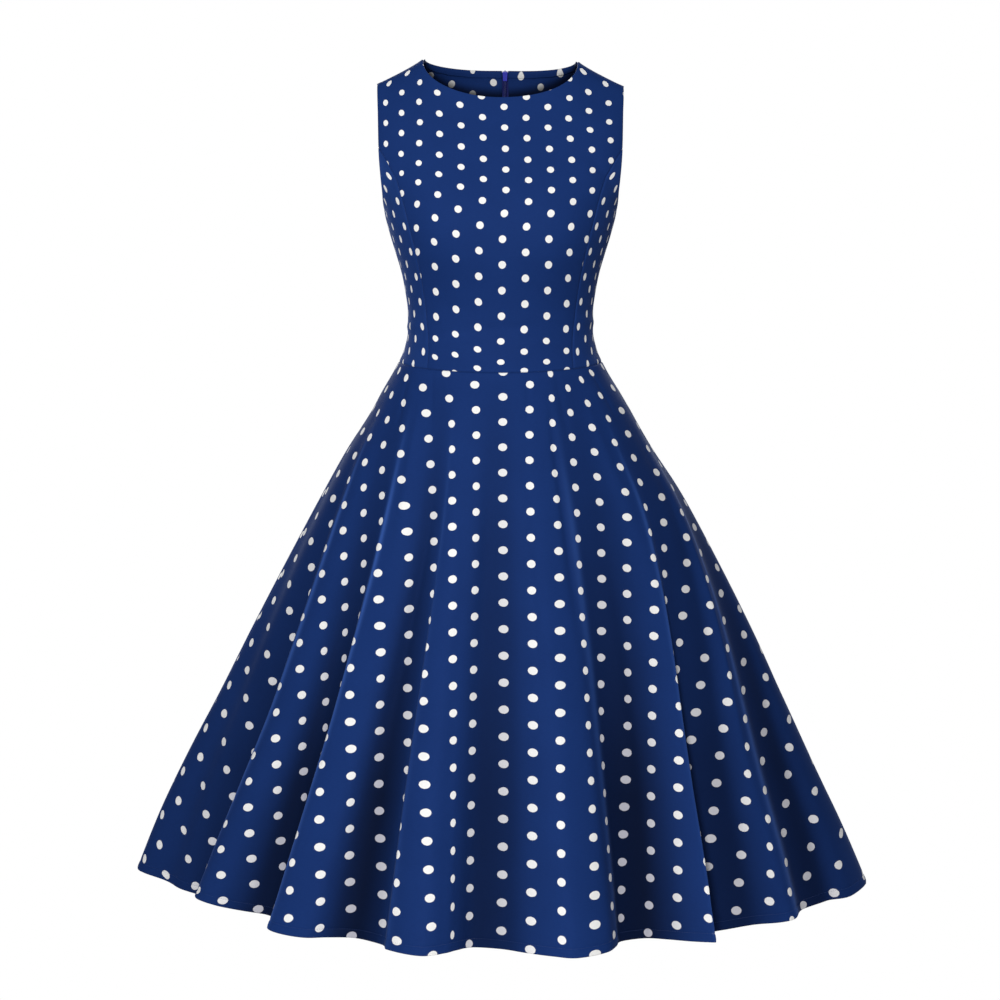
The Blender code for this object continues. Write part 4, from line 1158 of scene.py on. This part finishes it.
# ---------------------------------------------------------------------------- inside the centre back
def back_surface(x, z):
    """A point of the back's outer face at x and z, over the bodice and on down the skirt."""
    if z > WAIST_SIDE:
        angle = angle_of(x, z)
        p = bodice_point("back", abs(angle), z)
        p = leaned(Vector((math.copysign(p.x, x), p.y, p.z)))
        return np.array((p.x, p.y, p.z))
    t = (WAIST_SIDE - z) / (WAIST_SIDE - HEM_SIDE)
    wide = S["right" if x > 0 else "left"](z)
    azimuth = 180 - math.degrees(math.asin(max(-1, min(1, x / wide))))
    for _ in range(3):
        p = skirt_point(azimuth, t)
        azimuth += math.degrees((p.x - x) / 0.2)
    p = skirt_point(azimuth, t)
    return np.array((p.x, p.y, p.z))


def back_normal(x, z):
    e = 0.0015
    n = np.cross(back_surface(x - e, z) - back_surface(x + e, z), back_surface(x, z + e) - back_surface(x, z - e))
    return n / np.linalg.norm(n)


def inside_strip(name, node, xs, zs, depth, material, wall, off_zip=True, unit=1.0):
    """A strip inside the back: xs from the zip line, anticlockwise seen from above (falling x)."""
    grid, uv = [], []
    for z in zs:
        row, uv_row = [], []
        for x in xs:
            at = x + (zip_x(z) if off_zip else 0.0)
            row.append(back_surface(at, z) - back_normal(at, z) * depth)
            uv_row.append((x, z))
        grid.append(row)
        uv.append(uv_row)
    grid = np.array(grid)
    return shell(name, grid, uv, {}, (material, material), thick=np.full(grid.shape[:2], wall), node=node)


TAPE_TOP = NECK_BACK - 0.0045
tape_zs = [lerp(ZIP_END, TAPE_TOP, k / 120) for k in range(121)]
for name, xs in (("right", [0.0103, 0.0070, 0.0040, 0.0018, 0.0004]), ("left", [-0.0004, -0.0018, -0.0040, -0.0070, -0.0103])):
    inside_strip("zip_tape_cloth_" + name, "zip_tape_" + name, xs, tape_zs, 0.0018, tape_material, 0.0007)


def tube(path, radius, sides):
    """Rings round a path, closed at both ends; returns verts and faces."""
    path = np.asarray(path, dtype=float)
    verts, faces = [], []
    tangents = np.gradient(path, axis=0)
    frame_x = np.array((1.0, 0.0, 0.0))
    for p, tan in zip(path, tangents):
        tan = tan / np.linalg.norm(tan)
        across = np.cross(tan, frame_x)
        if np.linalg.norm(across) < 0.2:
            across = np.cross(tan, np.array((0.0, 1.0, 0.0)))
        across /= np.linalg.norm(across)
        other = np.cross(tan, across)
        for k in range(sides):
            a = 2 * math.pi * k / sides
            verts.append(p + radius * (math.cos(a) * across + math.sin(a) * other))
    for r in range(len(path) - 1):
        for k in range(sides):
            a, b = r * sides + k, r * sides + (k + 1) % sides
            faces.append((a, b, b + sides, a + sides))
    faces.append(tuple(range(sides - 1, -1, -1)))
    faces.append(tuple((len(path) - 1) * sides + k for k in range(sides)))
    return verts, faces


def joined(name, parts, material, body="dress", node=None):
    verts, faces = [], []
    for v, f in parts:
        base = len(verts)
        verts += [tuple(p) for p in v]
        faces += [tuple(i + base for i in poly) for poly in f]
    mesh = bpy.data.meshes.new(name)
    mesh.from_pydata(verts, [], faces)
    mesh.materials.append(material)
    mesh.validate()
    mesh.shade_smooth()
    obj = bpy.data.objects.new(name, mesh)
    bpy.context.scene.collection.objects.link(obj)
    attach(obj, body)
    if node:
        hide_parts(node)
    return obj


# Coil: a loop of nylon from either side at each tooth, hooked at the middle.
TOOTH = 0.0013
parts = []
count = int((TAPE_TOP - 0.0075 - ZIP_END) / TOOTH)
for k in range(count):
    z = ZIP_END + 0.003 + k * TOOTH
    for sign, shift in ((1, 0.0), (-1, TOOTH / 2)):
        zz = z + shift
        middle = back_surface(zip_x(zz), zz)
        n = back_normal(zip_x(zz), zz)
        path = []
        for x, deep, rise in ((0.0023, 0.0030, -0.00022), (0.0010, 0.0033, -0.00020), (-0.0003, 0.0036, -0.00008),
                              (-0.0005, 0.0040, 0.00006), (0.0004, 0.0043, 0.00016), (0.0023, 0.0043, 0.00022)):
            path.append(middle + np.array((sign * x, 0.0, rise)) - n * deep)
        parts.append(tube(path, 0.00030, 5))
coil = joined("zip_coil_teeth", parts, coil_material, node="zip_coil")

# Facing halves inside the back neck
FACING_DEEP = 0.055      # depth of the facing at the centre back
for name, sign in (("left", -1), ("right", 1)):
    grid, uv = [], []
    inner_levels = [0.5 + 0.5 * v for v in ()]
    for k in range(41):
        v = k / 40
        row, uv_row = [], []
        for i in range(61):
            u = i / 60
            s = (1 - u if sign > 0 else u)
            s = lerp(0.0, 0.785, s)
            top_p = bodice_panel("back", sign, s, 1.0, UNDERARM, BACK_SHARE, back_edge, lambda z: sign * zip_x(z) + 0.0042)
            share = lerp(0.60 + 0.02 * s, 0.9965, v)
            share = BACK_SHARE + (1 - BACK_SHARE) * share
            p = bodice_panel("back", sign, s, share, UNDERARM, BACK_SHARE, back_edge, lambda z: sign * zip_x(z) + 0.0042)
            row.append((p.x, p.y, p.z))
        grid.append(row)
    grid = np.array(grid)
    n = normals_of(grid)
    for j in range(grid.shape[0]):
        v = j / 40
        grid[j] -= n[j] * lerp(0.0031, 0.0012, v ** 6)
    for row in grid:
        uv_row = []
        for x, y, z in row:
            # each half facing is cut on its own grain, and its rows climb and bend
            grain = FACING_LEFT if sign < 0 else FACING_RIGHT
            across = (x - grain[0]) / grain[2]
            uv_row.append((across, (z - grain[1] - grain[3] * across - grain[4] * across ** 2) / grain[5]))
        uv.append(uv_row)
    shell("neck_facing_cloth_" + name, grid, uv, {"high": "fold"}, (back_face, neck_face),
                          thick=np.full(grid.shape[:2], 0.0008), node="neck_facing_back_" + name)

# Zip slider and pull keep their CAD shapes
for node in ("zip_slider", "zip_pull"):
    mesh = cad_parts[node].data
    mesh.materials.clear()
    mesh.materials.append(metal_material)


# --------------------------------------------------------------------------------------- hem stitches
def stitch(a, b, n, wide, high):
    """One stitch: a short lens of thread that lies on the cloth from a to b."""
    a, b, n = np.asarray(a), np.asarray(b), np.asarray(n)
    d = (b - a) / np.linalg.norm(b - a)
    w = np.cross(n, d)
    mid = (a + b) / 2
    verts = [a - n * high * 0.6]
    for t in (0.25, 0.75):
        c = a + (b - a) * t
        verts += [c + w * wide, c + n * high, c - w * wide, c - n * high * 0.6]
    verts.append(b - n * high * 0.6)
    faces = [(0, 2, 1), (0, 3, 2), (0, 4, 3), (0, 1, 4)]
    for k in range(4):
        m = (k + 1) % 4
        faces.append((1 + k, 1 + m, 5 + m, 5 + k))
    faces += [(9, 5, 6), (9, 6, 7), (9, 7, 8), (9, 8, 5)]
    return verts, faces


def stitched(obj_grid, level, every, length):
    """Stitches along a row of points."""
    parts = []
    pts, ns = obj_grid
    line, normals = pts[level], ns[level]
    run_len = np.concatenate([[0.0], np.cumsum(np.linalg.norm(np.diff(line, axis=0), axis=1))])
    total = run_len[-1]
    for k in range(int(total / every)):
        s0 = (k + 0.5) * every - length / 2
        s1 = s0 + length
        if s0 < 0 or s1 > total:
            continue
        a = np.array([np.interp(s0, run_len, line[:, c]) for c in range(3)])
        b = np.array([np.interp(s1, run_len, line[:, c]) for c in range(3)])
        n = np.array([np.interp((s0 + s1) / 2, run_len, normals[:, c]) for c in range(3)])
        parts.append(stitch(a, b, n / np.linalg.norm(n), 0.00022, 0.00018))
    return parts


def outer_grid(obj, rows, cols):
    """The outer face of a shell, back as a grid of points and normals."""
    co = np.empty(len(obj.data.vertices) * 3)
    obj.data.vertices.foreach_get("co", co)
    grid = co.reshape(-1, 3)[:rows * cols].reshape(rows, cols, 3)
    return grid, normals_of(grid)


parts = []
groove = hem_shares.index(HEM_TURN / 0.70)
parts += stitched(outer_grid(skirt_front, len(levels), len(shares(276, 0.0024))), groove, 0.0030, 0.0022)
for name in ("right", "left"):
    parts += stitched(outer_grid(skirt_backs[name], len(back_levels), len(shares(176, 0.0045))), groove, 0.0030, 0.0022)
stitches = joined("hem_stitches", parts, thread_material)

# ------------------------------------------------------------------------------- floor, light, camera
floor_mesh = bpy.data.meshes.new("floor")
R, TOP = 1.1, -1.60
floor_mesh.from_pydata([(-R, -R, TOP), (R, -R, TOP), (R, R, TOP), (-R, R, TOP)], [], [(0, 1, 2, 3)])
floor = bpy.data.objects.new("floor", floor_mesh)
bpy.context.scene.collection.objects.link(floor)
pale = bpy.data.materials.new("pale_floor")
pale.use_nodes = True
pale.node_tree.nodes["Principled BSDF"].inputs["Base Color"].default_value = (0.93, 0.93, 0.93, 1)
pale.node_tree.nodes["Principled BSDF"].inputs["Roughness"].default_value = 0.9
floor_mesh.materials.append(pale)

world = bpy.data.worlds.new("studio")
bpy.context.scene.world = world
world.use_nodes = True
nodes, links = world.node_tree.nodes, world.node_tree.links
soft = nodes["Background"]
soft.inputs["Color"].default_value = (0.96, 0.98, 1.0, 1.0)
soft.inputs["Strength"].default_value = 0.13
seen = nodes.new("ShaderNodeBackground")
seen.inputs["Color"].default_value = (1.0, 1.0, 1.0, 1.0)
seen.inputs["Strength"].default_value = 1.0
which = nodes.new("ShaderNodeLightPath")
either = nodes.new("ShaderNodeMixShader")
links.new(which.outputs["Is Camera Ray"], either.inputs[0])
links.new(soft.outputs[0], either.inputs[1])
links.new(seen.outputs[0], either.inputs[2])
links.new(either.outputs[0], nodes["World Output"].inputs["Surface"])


def lamp(name, place, target, size, power):
    light = bpy.data.lights.new(name, "AREA")
    light.shape = "RECTANGLE"
    light.size, light.size_y = size
    light.energy = power
    obj = bpy.data.objects.new(name, light)
    obj.location = place
    obj.rotation_euler = (Vector(target) - Vector(place)).to_track_quat("-Z", "Y").to_euler()
    bpy.context.scene.collection.objects.link(obj)


lamp("key", (-0.7, -3.7, 0.8), (0.0, 0.0, -0.55), (0.8, 0.8), 140.0)
lamp("fill", (2.2, -3.2, 0.3), (0.0, 0.0, -0.55), (1.4, 1.8), 14.0)
lamp("side_left", (-3.2, -0.9, 0.2), (0.0, 0.0, -0.5), (0.8, 1.8), 16.0)
lamp("side_right", (3.2, -0.9, 0.2), (0.0, 0.0, -0.5), (0.8, 1.8), 12.0)
lamp("back_left", (-1.3, 3.6, 0.9), (0.0, 0.0, -0.6), (1.0, 2.0), 70.0)
lamp("back_right", (1.3, 3.6, 0.9), (0.0, 0.0, -0.6), (1.0, 2.0), 50.0)

camera_data = bpy.data.cameras.new("camera")
camera_data.lens = 85.0
camera_data.sensor_width = 36.0
camera = bpy.data.objects.new("camera", camera_data)
camera.location = (-0.0006, -3.048, -0.2257)
camera.rotation_euler = (math.radians(90 - 6.04), 0.0, 0.0)
bpy.context.scene.collection.objects.link(camera)
bpy.context.scene.camera = camera
bpy.context.scene.view_settings.view_transform = "Standard"
bpy.context.scene.view_settings.look = "None"
